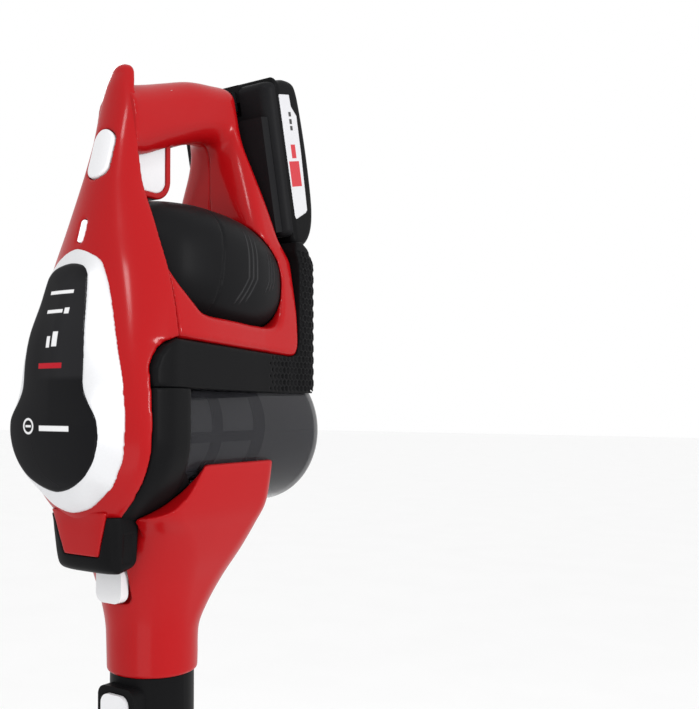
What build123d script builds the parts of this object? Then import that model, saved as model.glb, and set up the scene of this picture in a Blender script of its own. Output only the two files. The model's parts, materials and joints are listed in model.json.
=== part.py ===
"""Cordless stick vacuum: hand unit with loop handle, battery, dust container, telescopic tube and powered floor nozzle.

Worked out in tube coordinates: the tube's axis is X = Y = 0, -Y is the front with the face plate, +Y the
back with the battery, +Z up. Every piece is moved to the row frame, whose origin is the dock slot, on export.
"""

import os
from math import atan2, cos, degrees, pi, radians, sin, sqrt

from build123d import *

# Clearances and walls, millimetres.
GAP = 0.3
WALL = 2.5
FAR = 400.0

# The dock slot in the back of the exhaust housing is the row's origin.
DOCK_Y, DOCK_Z = 121.0, 62.0
DOCK_SLOT = (24.0, 7.0, 12.0)  # width, depth, height

# Front frame: height, front face, rear edge, half width, and how far the flanks sweep back.
FRONT_STATIONS = [
    (-60, -62, -40, 31, 7),
    (-50, -68.5, -40, 41, 10),
    (-38, -73.5, -40, 51, 14),
    (-24, -77.5, -40, 58, 17),
    (-8, -80.5, -40, 61, 19),
    (12, -81.5, -30, 60, 19),
    (35, -79.5, -20, 55.5, 18),
    (60, -75.5, -18, 48, 16),
    (85, -70, -18, 39, 14),
    (110, -62.5, -18, 29.5, 11),
    (135, -54, -18, 23, 9),
    (160, -46, -18, 20, 8),
    (185, -40, -17, 17.5, 7),
    (202, -35.5, -17, 13.5, 6),
    (211, -31, -20, 8, 4),
]
RING_REAR = -55.0  # where the red ring stops and the filter seat begins
FRAME_REAR = -19.0  # where the front frame meets the handle shells
SKIRT_BOTTOM = 42.0  # lower edge of the red handle skirt

# Outlines seen from the front: half width at each height, from the bottom up.
PLATE_OUTLINE = [(-45, 0), (-40, 19), (-30, 30), (-18, 36), (-6, 36), (4, 31), (12, 25.5), (30, 22.5),
                 (55, 19.5), (70, 18), (79, 14.5), (84.5, 8), (86.5, 0)]
BEVEL_OUTLINE = [(-55, 0), (-50, 20), (-38, 35.5), (-22, 43.5), (-6, 45.5), (12, 43.5), (35, 37),
                 (60, 28.5), (78, 21), (88, 14), (93, 8), (95.5, 0)]
PLATE_RAISE, BEVEL_RAISE = 4.5, 2.0

# Handle.
GRIP_HALF_WIDTH = 18.0
BAR_STATIONS = [(-17, 184, 42), (0, 188, 43), (20, 195, 42), (45, 200.5, 39), (66, 203, 37), (80, 200.5, 34)]
PILLAR_STATIONS = [(60, 60, 119, 40), (90, 58, 119, 38), (115, 57, 106, 37), (140, 56, 90, 33), (165, 55, 84, 26),
                   (190, 54, 84, 20), (212, 62, 88, 15)]  # height, inner face, outer face, half width
SCREW_PLACES = [(2.0, 200.5), (40.0, 208.0), (62.5, 190.0), (70.0, 127.5)]  # Y, Z
SKIRT_PLAN = [(-56, 57), (-38, 55.5), (0, 51.5), (50, 46), (88, 42.5), (106, 41), (115, 38), (119, 33)]  # Y, half width

# Motor housing dome: Y, centre height, half height, half width.
DOME_STATIONS = [(-17, 88, 27, 40), (-8, 91, 33, 45.5), (10, 94, 37, 49), (40, 93, 36, 49), (64, 90, 32, 47),
                 (78, 88, 25, 42), (84, 87, 16, 33)]
MOTOR_AXIS_Z, MOTOR_RADIUS, MOTOR_LENGTH = 91.0, 27.0, 46.0

# Dust container.
BOWL_Z, BOWL_RADIUS, BOWL_WALL = -12.0, 50.0, 2.4
BOWL_FRONT, BOWL_BACK, BOWL_EDGE = -24.0, 121.0, 13.0
CAGE_RADIUS, CAGE_Z, CAGE_BACK = 37.0, -8.0, 68.0
CAGE_RIBS = 8
FILTER_RADIUS, FILTER_BACK = 29.0, 58.0
INLET_RADIUS, INLET_Y, INLET_TOP = 17.0, 12.0, -54.6
FLAP_Z, FLAP_HINGE_Y = -53.8, -7.0

# Suction neck: height, front, back, half width.
NECK_STATIONS = [(-158, -29.5, 29.5, 29.5), (-132, -30.5, 30.5, 30), (-116, -33, 42, 32), (-98, -35.5, 56, 37),
                 (-78, -36.5, 63, 43), (-55, -37, 64, 49), (-29.8, -37, 62, 51)]
NECK_FRONT = -7.0  # the saddle's front edge against the filter seat
COLLAR_BOTTOM = -158.0

# Tube.
TUBE_RADIUS, TUBE_BORE = 26.0, 23.4
SPIGOT_RADIUS, SPIGOT_BORE, SPIGOT_TOP = 24.0, 19.0, -112.0
TUBE_BOTTOM = -560.0
INNER_RADIUS, INNER_BORE, INNER_TOP, INNER_BOTTOM = 20.5, 18.5, -385.0, -905.0
CLAMP_RADIUS, CLAMP_HEIGHT = 29.0, 46.0
TUBE_DETACH, TUBE_RETRACT = 60.0, 200.0

# Floor nozzle.
FLOOR_Z = -1060.0
NOZZLE_WIDTH, NOZZLE_FRONT, NOZZLE_BACK, NOZZLE_HEIGHT = 264.0, -92.0, 44.0, 60.0
BRUSH_Y, BRUSH_Z, BRUSH_RADIUS, BRUSH_CORE = -58.0, FLOOR_Z + 25.5, 23.0, 15.0
PITCH_Y, PITCH_Z = 0.0, FLOOR_Z + 40.0
YAW_Z = FLOOR_Z + 84.0
WHEEL_RADIUS, WHEEL_WIDTH, WHEEL_Y, WHEEL_X = 14.0, 9.0, 30.0, 52.0

# Battery, in its own leaning frame.
BATTERY_LEAN = 13.0
BATTERY_FOOT = (0.0, 86.0, 117.5)  # foot of the rail face, on the middle plane
BATTERY_SIZE = (75.0, 47.0, 108.0)  # width, thickness, length
CELL_RADIUS, CELL_LENGTH = 9.1, 65.0


# ---- helpers ----
def cylinder_y(radius, y0, y1, x=0.0, z=0.0):
    """A cylinder along Y from y0 to y1."""
    return Pos(x, (y0 + y1) / 2, z) * Rot(90, 0, 0) * Cylinder(radius, abs(y1 - y0))


def cylinder_x(radius, x0, x1, y=0.0, z=0.0):
    """A cylinder along X from x0 to x1."""
    return Pos((x0 + x1) / 2, y, z) * Rot(0, 90, 0) * Cylinder(radius, abs(x1 - x0))


def cylinder_z(radius, z0, z1, x=0.0, y=0.0):
    """A cylinder along Z from z0 to z1."""
    return Pos(x, y, (z0 + z1) / 2) * Cylinder(radius, abs(z1 - z0))


def block(x0, x1, y0, y1, z0, z1):
    """A plain block between two corners."""
    return Pos((x0 + x1) / 2, (y0 + y1) / 2, (z0 + z1) / 2) * Box(abs(x1 - x0), abs(y1 - y0), abs(z1 - z0))


def side_plane(y, z=0.0):
    """The section plane at Y, its own x along +X and its own y along +Z."""
    return Plane(origin=(0, y, z), x_dir=(1, 0, 0), z_dir=(0, -1, 0))


def mirrored_outline(points):
    """The closed face on the front plane whose half widths are given from the bottom up."""
    right = [(w, z) for z, w in points]
    left = [(-w, z) for z, w in reversed(points)]
    edges = [Spline(*right), Spline(*left)]
    return Plane.XZ * make_face(edges)


def outline_prism(points):
    """A front outline pushed right through the object along Y."""
    return extrude(mirrored_outline(points), FAR / 2, both=True)


def d_section(z, front, rear, half_width, sweep):
    """The front frame's horizontal section: a bowed front and flanks that draw in towards the rear."""
    flank = front + sweep
    bow = ThreePointArc((-half_width, flank), (0, front), (half_width, flank))
    tail = Polyline((half_width, flank), (half_width * 0.9, rear), (-half_width * 0.9, rear), (-half_width, flank))
    return Plane.XY.offset(z) * make_face([bow, tail])


def front_loft(grow=0.0):
    """The front frame's outer volume, grown outwards by grow."""
    sections = [d_section(z, f - grow, r, w + grow, s) for z, f, r, w, s in FRONT_STATIONS]
    return loft(sections)


def front_cavity():
    """The hollow inside the front frame, closed at the head and the chin."""
    stations = [(FRONT_STATIONS[0][0] + WALL,) + FRONT_STATIONS[0][1:]] + FRONT_STATIONS[1:-1]
    return loft([d_section(z, f + WALL, r, w - WALL, s) for z, f, r, w, s in stations])


def rounded(width, depth, radius):
    """A rounded rectangle whose corner radius always fits."""
    return RectangleRounded(width, depth, min(radius, width / 2 - 0.2, depth / 2 - 0.2))


def largest(shape):
    """The largest solid of a cut's result."""
    return max(shape.solids(), key=lambda s: s.volume)


def softened(solid, edges, radii):
    """The solid with the first fillet radius that the edges take, or as it was."""
    for radius in radii:
        try:
            made = fillet(edges, radius)
        except Exception:
            continue
        if made.is_valid and made.volume > 0:
            return made
    return solid


def screw(x, y, z, axis, length=12.0, head=3.2, shank=1.5):
    """A pan-head screw whose head lies at the point and whose shank runs along axis."""
    plane = Plane(origin=(x, y, z), z_dir=axis)
    body = Cylinder(head, 2.0, align=(Align.CENTER, Align.CENTER, Align.MIN))
    body += Pos(0, 0, 2.0) * Cylinder(shank, length, align=(Align.CENTER, Align.CENTER, Align.MIN))
    return plane * body


# ---- hand unit casing ----
def dome(inset=0.0):
    """The motor housing's rounded volume, drawn in by inset."""
    sections = [
        side_plane(y + inset * (1 if i == 0 else -1 if i == len(DOME_STATIONS) - 1 else 0), z)
        * rounded(2 * (w - inset), 2 * (h - inset), 0.8 * (h - inset))
        for i, (y, z, h, w) in enumerate(DOME_STATIONS)
    ]
    return loft(sections)


def bar(inset=0.0):
    """The grip bar, rising towards the back."""
    width = 2 * (GRIP_HALF_WIDTH - inset)
    sections = [side_plane(y, z) * rounded(width, h - 2 * inset, 15 - inset) for y, z, h in BAR_STATIONS]
    return loft(sections)


def pillar(inset=0.0):
    """The rear pillar: narrow at the grip, wide where it carries the battery."""
    sections = []
    last = len(PILLAR_STATIONS) - 1
    for i, (z, inner, outer, w) in enumerate(PILLAR_STATIONS):
        height = z - (inset if i == last else 0)
        flat = Pos(0, (inner + outer) / 2) * rounded(2 * (w - inset), outer - inner - 2 * inset, 11 - inset)
        sections.append(Plane.XY.offset(height) * flat)
    return loft(sections)


def plan_prism(inset, z0, z1):
    """The lower body's plan outline between two heights, drawn in by inset."""
    right = [(w - inset, y) for y, w in SKIRT_PLAN]
    right[-1] = (right[-1][0], right[-1][1] - inset)
    left = [(-x, y) for x, y in reversed(right)]
    edges = [Spline(*right), Line(right[-1], left[0]), Spline(*left), Line(left[-1], right[0])]
    return Pos(0, 0, z0) * extrude(make_face(edges), z1 - z0)


def rear_gap():
    """The room behind the pillar that the battery and its rails take."""
    return battery_frame() * block(-60, 60, 0.0, 80, -60, 160)


def handle_volume(inset=0.0):
    """Bar, pillar and skirt as one volume."""
    skirt = plan_prism(inset, SKIRT_BOTTOM + (0 if inset == 0 else -5), 66 - inset) & block(
        -70, 70, FRAME_REAR - 1, 130, SKIRT_BOTTOM - 6, 70)
    return bar(inset) + pillar(inset) + skirt


def handle_shell():
    """The hollow red handle, open where the dome, the battery and the trigger go."""
    outer = handle_volume()
    shell = outer - handle_volume(WALL) - dome(-GAP)
    shell -= block(-70, 70, -200, FRAME_REAR + GAP, -100, 300)
    shell -= rear_gap()
    shell -= block(-70, 70, 99.7, 130, 0, 117)
    shell -= trigger_opening()
    return shell


def handle_half(side):
    """One clamshell half of the handle, split on the middle plane, with its screw bosses."""
    half = handle_shell() & block(0.05, 90, -60, 160, 0, 260)
    for y, z in SCREW_PLACES:
        boss = cylinder_x(4.4, 0.05, 17.0, y, z) & handle_volume(0.5)
        half += boss
        half -= cylinder_x(1.56, 0, 13.5, y, z) if side < 0 else cylinder_x(1.6, 0, 20, y, z)
        if side > 0:
            half -= cylinder_x(3.3, 11.4, 30, y, z)
    half = largest(half)
    return half if side > 0 else mirror(half, Plane.YZ)


def handle_screws():
    """The screws that hold the right half of the handle to the left."""
    return [screw(13.5, y, z, (-1, 0, 0), length=24) for y, z in SCREW_PLACES]


def frame_cutters():
    """What is taken out of the front frame behind its ring and skirt."""
    behind_ring = block(-80, 80, RING_REAR, 50, -80, SKIRT_BOTTOM)
    behind_frame = block(-80, 80, FRAME_REAR, 50, -80, 260)
    return behind_ring + behind_frame


def front_frame():
    """The red front frame: prow, ring and chin, hollow behind."""
    shell = front_loft() - front_cavity()
    shell -= frame_cutters()
    shell -= dome(-GAP)
    shell -= turbo_well(GRIP_HALF_WIDTH)
    shell -= light_well()
    return largest(shell)


def trim_bevel():
    """The bright bevel round the face plate."""
    layer = front_loft(BEVEL_RAISE) - front_loft(0.05)
    ring = (layer & outline_prism(BEVEL_OUTLINE)) - outline_prism([(z, w + 0.2 if w else 0) for z, w in PLATE_OUTLINE])
    ring -= block(-80, 80, RING_REAR, 50, -80, 260)
    return largest(ring)


def face_plate():
    """The black face plate: a disc below and a tapered neck above."""
    layer = front_loft(PLATE_RAISE) - front_loft(0.05)
    plate = (layer & outline_prism(PLATE_OUTLINE)) - block(-80, 80, RING_REAR, 50, -80, 260)
    return largest(plate)


# ---- controls ----
def face_frame(z):
    """A frame on the front face at a height, its own z pointing out of the face and its own y up along it."""
    below = max((s for s in FRONT_STATIONS if s[0] <= z), key=lambda s: s[0])
    above = min((s for s in FRONT_STATIONS if s[0] > z), key=lambda s: s[0])
    share = (z - below[0]) / (above[0] - below[0])
    front = below[1] + share * (above[1] - below[1])
    lean = atan2(above[1] - below[1], above[0] - below[0])
    return Plane(origin=(0, front, z), x_dir=(1, 0, 0), z_dir=(0, -cos(lean), sin(lean)))


TURBO_Z, TURBO_LENGTH, TURBO_WIDTH, TURBO_TRAVEL = 155.0, 32.0, 20.0, 1.5
LIGHT_Z, LIGHT_LENGTH, LIGHT_WIDTH = 107.0, 13.5, 4.2


def turbo_well(depth=9.0):
    """The slot in the front frame that the turbo button slides in."""
    slot = SlotOverall(TURBO_LENGTH + 2 * GAP, TURBO_WIDTH + 2 * GAP)
    return face_frame(TURBO_Z) * (Pos(0, 0, -depth) * extrude(Rot(0, 0, 90) * slot, depth + 6))


def turbo_button():
    """The white turbo key, with a lip behind the frame that keeps it in."""
    slot = Rot(0, 0, 90) * SlotOverall(TURBO_LENGTH, TURBO_WIDTH)
    key = Pos(0, 0, -7) * extrude(slot, 8.6)
    key = softened(key, key.faces().sort_by(Axis.Z)[-1].edges(), [1.2, 0.8])
    return face_frame(TURBO_Z) * key


def light_well():
    """The slot for the status light."""
    slot = SlotOverall(LIGHT_LENGTH + 0.1, LIGHT_WIDTH + 0.1)
    return face_frame(LIGHT_Z) * (Pos(0, 0, -8) * extrude(Rot(0, 0, 90) * slot, 14))


def status_light():
    """The light pipe in the frame, just proud of it."""
    slot = SlotOverall(LIGHT_LENGTH, LIGHT_WIDTH)
    return face_frame(LIGHT_Z) * (Pos(0, 0, -6) * extrude(Rot(0, 0, 90) * slot, 6.4))


TRIGGER_FRAME = Plane(origin=(-6, 0, 0), x_dir=(0, 1, 0), z_dir=(1, 0, 0))
TRIGGER_TRAVEL = 6.0
TRIGGER_BOTTOM, TRIGGER_TOP = 134.0, 176.0
TRIGGER_FRONT, TRIGGER_BACK = -16.5, 8.0
TRIGGER_HALF = 7.0


def u_profile(inset):
    """The trigger's side outline: straight sides and a round foot, drawn in by inset."""
    radius = (TRIGGER_BACK - TRIGGER_FRONT) / 2 - inset
    middle = (TRIGGER_BACK + TRIGGER_FRONT) / 2
    foot = TRIGGER_BOTTOM + inset + radius
    sides = Polyline((middle + radius, foot), (middle + radius, TRIGGER_TOP), (middle - radius, TRIGGER_TOP),
                     (middle - radius, foot))
    arc = ThreePointArc((middle - radius, foot), (middle, foot - radius), (middle + radius, foot))
    return make_face([sides, arc])


def trigger_prism(inset, half_width):
    """The trigger's outline pushed to a half width each side of the middle plane."""
    face = Plane(origin=(0, 0, 0), x_dir=(0, 1, 0), z_dir=(1, 0, 0)) * u_profile(inset)
    return extrude(face, half_width, both=True)


def trigger_opening():
    """The slot in the grip's underside with room for the whole trigger and its travel."""
    return block(-TRIGGER_HALF - GAP, TRIGGER_HALF + GAP, TRIGGER_FRONT - GAP - 2.0, TRIGGER_BACK + GAP, 120, 184)


def trigger():
    """The white trigger core."""
    return trigger_prism(4.5, TRIGGER_HALF - 0.8)


def trigger_shoe():
    """The red shoe round the trigger that the finger pulls."""
    return trigger_prism(0, TRIGGER_HALF) - trigger_prism(4.5, 20) - block(-20, 20, -60, 60, 172, 200)


def trigger_spring():
    """The coil spring that pushes the trigger down, as a plain sleeve of its outer size."""
    ring = Cylinder(3.2, 12.5, align=(Align.CENTER, Align.CENTER, Align.MIN))
    ring -= Cylinder(2.0, 12.5, align=(Align.CENTER, Align.CENTER, Align.MIN))
    return Pos(0, -4.2, 176.0) * ring


def trigger_switch():
    """The microswitch above the trigger, beside its spring."""
    return block(-6, 6, 2.5, 13.5, 185.5, 195.5)


def control_board():
    """The electronics board inside the pillar, with its parts."""
    board = block(-13, 13, 60.5, 62.1, 132, 178)
    parts = block(-9, 1, 62.1, 67, 140, 150) + block(3, 11, 62.1, 65, 160, 172) + cylinder_y(4, 62.1, 69, -5, 166)
    return board + parts


# ---- motor and exhaust ----
def motor_housing():
    """The black motor cover that fills the lower half of the loop."""
    shell = dome() - dome(WALL)
    shell -= cylinder_z(16, 0, 80, 0, 55)
    shell -= cylinder_y(16, -30, 0, 0, MOTOR_AXIS_Z)
    return largest(shell)


def motor_stator():
    """The motor's can, open at both ends."""
    can = cylinder_y(MOTOR_RADIUS, 14, 14 + MOTOR_LENGTH, 0, MOTOR_AXIS_Z)
    can -= cylinder_y(14.5, 10, 64, 0, MOTOR_AXIS_Z)
    for i in range(6):
        turn = Pos(0, 0, MOTOR_AXIS_Z) * Rot(0, 60 * i, 0)
        can -= turn * cylinder_y(4.2, 10, 64, 20.0, 0)
    return can


def motor_shaft():
    """The motor's shaft with its rotor."""
    return cylinder_y(2.5, -1, 64, 0, MOTOR_AXIS_Z) + cylinder_y(13.8, 20, 54, 0, MOTOR_AXIS_Z)


def impeller():
    """The fan: a back plate, a hub and nine blades."""
    fan = cylinder_y(26, 9, 10.6, 0, MOTOR_AXIS_Z) + cylinder_y(6, 1, 10, 0, MOTOR_AXIS_Z)
    for i in range(9):
        blade = block(5, 24.5, 3.5, 9.2, -0.6, 0.6)
        fan += Pos(0, 0, MOTOR_AXIS_Z) * Rot(0, 40 * i, 0) * Rot(0, 0, 0) * blade
    return fan - cylinder_y(2.52, -5, 70, 0, MOTOR_AXIS_Z)


def motor_mounts():
    """Two rubber rings that carry the motor in its cover."""
    rings = []
    for y in (20.0, 50.0):
        ring = cylinder_y(31.2, y, y + 5, 0, MOTOR_AXIS_Z) - cylinder_y(MOTOR_RADIUS, y - 1, y + 6, 0, MOTOR_AXIS_Z)
        rings.append(ring)
    return rings


def exhaust_volume(inset=0.0):
    """The black lower body: deck over the container and a tower behind the pillar."""
    deck = plan_prism(inset, 11.0 + inset, SKIRT_BOTTOM - 0.05 - inset)
    tower = plan_prism(inset, 11.0 + inset, 116.0 - inset) & block(-60, 60, 100 + inset, DOCK_Y, 0, 120)
    back = block(-33 + inset, 33 - inset, 112, DOCK_Y - inset, 11 + inset, 116 - inset)
    return deck + tower + back


def exhaust_housing():
    """The exhaust housing, hollow, with the dock slot and the charging socket."""
    outer = exhaust_volume() & block(-70, 70, RING_REAR + 19, 130, 0, 120)
    inner = exhaust_volume(WALL) & block(-70, 70, RING_REAR + 19 + WALL, 130, 0, 120)
    shell = outer - inner
    shell += (outer & cylinder_y(BOWL_RADIUS + 3.4, -40, 130, 0, BOWL_Z))
    shell -= cylinder_y(BOWL_RADIUS + 0.9, -80, 140, 0, BOWL_Z)
    shell += dock_pocket_block() + socket_block()
    shell -= dock_pocket()
    shell -= cylinder_y(SOCKET_RADIUS, 100, 140, SOCKET_X, SOCKET_Z)
    shell -= grille_pocket(GAP)
    return shell


SOCKET_RADIUS, SOCKET_X, SOCKET_Z, SOCKET_DEPTH = 2.75, 20.0, 44.0, 12.0


def dock_pocket():
    """The slot that the wall dock's hook goes into."""
    w, d, h = DOCK_SLOT
    return block(-w / 2, w / 2, DOCK_Y - d, DOCK_Y + 5, DOCK_Z - h / 2, DOCK_Z + h / 2)


def dock_pocket_block():
    """The walls round the dock slot."""
    w, d, h = DOCK_SLOT
    t = 2.0
    return block(-w / 2 - t, w / 2 + t, DOCK_Y - d - t, DOCK_Y - 0.5, DOCK_Z - h / 2 - t, DOCK_Z + h / 2 + t)


def socket_block():
    """The boss of the charging socket."""
    return cylinder_y(SOCKET_RADIUS + 2.5, DOCK_Y - SOCKET_DEPTH, DOCK_Y - 0.5, SOCKET_X, SOCKET_Z)


GRILLE_TOP, GRILLE_BOTTOM, GRILLE_HALF = 110.0, 76.0, 25.0


def grille_pocket(gap=0.0):
    """The window in the back that the exhaust grille fills."""
    return block(-GRILLE_HALF - gap, GRILLE_HALF + gap, DOCK_Y - WALL - 1, DOCK_Y + 5, GRILLE_BOTTOM - gap,
                 GRILLE_TOP + gap)


def exhaust_grille():
    """The exhaust grille in the back, with staggered round holes."""
    plate = block(-GRILLE_HALF, GRILLE_HALF, DOCK_Y - WALL, DOCK_Y - 0.2, GRILLE_BOTTOM, GRILLE_TOP)
    rows = 5
    pitch_x, pitch_z = 6.4, 6.2
    for row in range(rows):
        shift = pitch_x / 2 if row % 2 else 0.0
        for column in range(-3, 4 - row % 2):
            x = column * pitch_x + shift
            z = GRILLE_BOTTOM + 4.6 + row * pitch_z
            plate -= cylinder_y(2.1, DOCK_Y - 10, DOCK_Y + 5, x, z)
    return plate


def exhaust_filter():
    """The pleated exhaust filter behind the grille."""
    frame = block(-24, 24, DOCK_Y - 14, DOCK_Y - WALL - 1.5, GRILLE_BOTTOM + 1, GRILLE_TOP - 1)
    for i in range(11):
        x = -20 + 4 * i
        frame -= block(x - 0.9, x + 0.9, DOCK_Y - 20, DOCK_Y - 8, GRILLE_BOTTOM + 3, GRILLE_TOP - 3)
    return frame


def filter_seat():
    """The black band between the red ring and the container, with the air way to the motor."""
    cone = loft([side_plane(RING_REAR + 0.05, BOWL_Z) * Circle(54.0), side_plane(-24.5, BOWL_Z) * Circle(BOWL_RADIUS + 0.6)])
    cone -= loft([side_plane(RING_REAR - 1, BOWL_Z) * Circle(48.0), side_plane(-23.5, BOWL_Z) * Circle(46.5)])
    web = cylinder_y(49.0, -50, -47, 0, BOWL_Z) - cylinder_y(28.0, -60, -40, 0, CAGE_Z)
    lip = cylinder_y(BOWL_RADIUS + 3.2, -27, -9, 0, BOWL_Z) - cylinder_y(BOWL_RADIUS + GAP, -40, 0, 0, BOWL_Z)
    lip &= block(-70, 70, -40, NECK_FRONT - 1.2, -80, -34)
    band = cone + web + lip
    band -= block(-80, 80, RING_REAR - 5, 20, SKIRT_BOTTOM - 31.5, 80) & plan_prism(-10, 10.9, 80)
    return largest(band)


def seat_seal():
    """The rubber ring that seals the container against its seat."""
    return cylinder_y(46.2, -26.5, -24.1, 0, BOWL_Z) - cylinder_y(44.4, -30, -20, 0, BOWL_Z)


# ---- latch ----
LATCH_HALF, LATCH_TOP, LATCH_BOTTOM, LATCH_FRONT, LATCH_BACK = 29.5, -60.2, -98.0, -61.5, -40.5


def latch_hook():
    """The black hook under the ring that the container hangs on."""
    body = block(-LATCH_HALF, LATCH_HALF, LATCH_FRONT, LATCH_BACK, LATCH_BOTTOM, LATCH_TOP)
    body = softened(body, body.edges().filter_by(Axis.Z), [9, 6])
    body = softened(body, body.faces().sort_by(Axis.Z)[0].edges(), [5, 3])
    body -= block(-LATCH_HALF + 4, LATCH_HALF - 4, LATCH_FRONT + 5, LATCH_BACK + 5, LATCH_BOTTOM + 4, 0)
    body -= latch_insert_face(GAP)
    return body


def latch_insert_face(gap=0.0):
    """The front recess that the red insert fills."""
    points = [(-20 - gap, LATCH_TOP + 1), (-15 - gap, LATCH_BOTTOM + 13 - gap), (15 + gap, LATCH_BOTTOM + 13 - gap),
              (20 + gap, LATCH_TOP + 1)]
    face = Plane.XZ * make_face(Polyline(*points, close=True))
    return Pos(0, LATCH_FRONT + 1.8, 0) * extrude(face, 8)


def latch_insert():
    """The red insert in the latch hook's front."""
    return latch_insert_face() & block(-30, 30, LATCH_FRONT - 0.6, LATCH_FRONT + 1.8, -100, LATCH_TOP)


# ---- dust container ----
def container_bowl():
    """The smoked clear bowl, open at the front, with the inlet below."""
    bowl = cylinder_y(BOWL_RADIUS, BOWL_FRONT, BOWL_BACK, 0, BOWL_Z)
    bowl = softened(bowl, bowl.edges().filter_by(GeomType.CIRCLE).sort_by(Axis.Y)[-1:], [BOWL_EDGE])
    inner = cylinder_y(BOWL_RADIUS - BOWL_WALL, BOWL_FRONT - 1, BOWL_BACK - BOWL_WALL, 0, BOWL_Z)
    inner = softened(inner, inner.edges().filter_by(GeomType.CIRCLE).sort_by(Axis.Y)[-1:], [BOWL_EDGE - BOWL_WALL])
    bowl -= inner
    bowl += cylinder_z(INLET_RADIUS + 1.8, BOWL_Z - BOWL_RADIUS + 3, INLET_TOP, 0, INLET_Y)
    return bowl - cylinder_z(INLET_RADIUS, -90, -40, 0, INLET_Y)


def neck_volume(inset=0.0):
    """The neck's volume, from the round collar up to the saddle."""
    sections = []
    for z, front, back, w in NECK_STATIONS:
        flat = Pos(0, (front + back) / 2) * rounded(2 * (w - inset), back - front - 2 * inset, 0.98 * (w - inset))
        sections.append(Plane.XY.offset(z) * flat)
    return loft(sections)


def saddle_cut():
    """What is cut from the neck for the container, the filter seat and the latch."""
    bowl = cylinder_y(BOWL_RADIUS + 0.05, -90, 140, 0, BOWL_Z)
    seat = block(-80, 80, -80, NECK_FRONT, -66.5, 0)
    return bowl + seat


def suction_neck():
    """The red neck: collar for the tube, airway and saddle under the container."""
    core = neck_volume()
    airway = neck_volume(3.2) & block(-90, 90, -90, 90, -128, -20)
    shell = core - airway
    roof = core & cylinder_y(BOWL_RADIUS + 3.0, -90, 140, 0, BOWL_Z)
    shell += roof + (core & block(-90, 90, -90, NECK_FRONT + 3, -69.5, -60))
    shell -= saddle_cut()
    shell -= cylinder_z(INLET_RADIUS - 0.5, -90, -40, 0, INLET_Y)
    shell -= cylinder_z(SPIGOT_RADIUS + 0.06, -170, SPIGOT_TOP, 0, 0)
    shell -= cylinder_z(SPIGOT_BORE, -120, -100, 0, 0)
    shell += button_solid(CONTAINER_BUTTON_Z, CONTAINER_BUTTON_LENGTH, -60, 34, 2.2) & core
    shell -= container_button_well()
    shell -= cylinder_z(SPIGOT_RADIUS + 0.06, -170, SPIGOT_TOP, 0, 0)
    return largest(shell)


BUTTON_HALF, BUTTON_TRAVEL = 10.5, 2.0
CONTAINER_BUTTON_Z, CONTAINER_BUTTON_LENGTH = -101.0, 22.0


def button_solid(z, length, front, depth, gap=0.0, half=BUTTON_HALF):
    """A key in the front of a tube or neck: rounded outline, pushed in along +Y."""
    face = Plane.XZ * (Pos(0, z) * rounded(2 * (half + gap), length + 2 * gap, 6 + gap))
    return Pos(0, front + depth, 0) * extrude(face, depth)


def container_button_well():
    """The slot for the container release."""
    return button_solid(CONTAINER_BUTTON_Z, CONTAINER_BUTTON_LENGTH, -60, 31.8, GAP)


def container_button():
    """The white container release key under the latch."""
    return button_solid(CONTAINER_BUTTON_Z, CONTAINER_BUTTON_LENGTH, -38.0, 6.0)


def filter_cage():
    """The cage round the filter: rings, long ribs and a flange."""
    outer = cylinder_y(CAGE_RADIUS, -46.9, CAGE_BACK, 0, CAGE_Z)
    cage = outer - cylinder_y(CAGE_RADIUS - 2.2, -60, CAGE_BACK - 2.5, 0, CAGE_Z)
    bays = [(-16, 16), (24, 58)]
    for y0, y1 in bays:
        for i in range(CAGE_RIBS):
            turn = Pos(0, 0, CAGE_Z) * Rot(0, 360 / CAGE_RIBS * (i + 0.5) + 10, 0)
            window = block(CAGE_RADIUS - 8, CAGE_RADIUS + 5, y0, y1, -11, 11)
            cage -= turn * window
    return cage


def filter_mesh():
    """The fine metal screen behind the cage's windows."""
    return cylinder_y(CAGE_RADIUS - 2.25, -22, 64, 0, CAGE_Z) - cylinder_y(CAGE_RADIUS - 2.85, -30, 70, 0, CAGE_Z)


def pleated_filter():
    """The pleated fine filter, as a star prism with a hollow core."""
    count = 24
    points = []
    for i in range(2 * count):
        radius = FILTER_RADIUS if i % 2 == 0 else FILTER_RADIUS - 7
        points.append((radius * cos(pi * i / count), radius * sin(pi * i / count)))
    star = side_plane(FILTER_BACK, CAGE_Z) * make_face(Polyline(*points, close=True))
    core = extrude(star, FILTER_BACK + 18)
    cap = cylinder_y(FILTER_RADIUS + 1.5, FILTER_BACK, FILTER_BACK + 2, 0, CAGE_Z)
    return core + cap - cylinder_y(18, -30, FILTER_BACK - 1, 0, CAGE_Z)


def clean_knob():
    """The knob that turns the filter to shake it clean."""
    knob = cylinder_y(33.8, -30, -18.0, 0, CAGE_Z) - cylinder_y(18, -40, 0, 0, CAGE_Z)
    grip = block(-32, 32, -36, -29, CAGE_Z - 4, CAGE_Z + 4) - cylinder_y(20, -40, 0, 0, CAGE_Z)
    ribs = block(-21, 21, -33, -30.5, CAGE_Z - 2, CAGE_Z + 2)
    return knob + grip + ribs


def inlet_flap():
    """The rubber flap over the inlet that keeps the dust in."""
    disc = Pos(0, INLET_Y, FLAP_Z) * Cylinder(INLET_RADIUS + 1.5, 1.2)
    return disc + cylinder_x(1.1, -8, 8, FLAP_HINGE_Y, FLAP_Z + 0.4)


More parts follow.
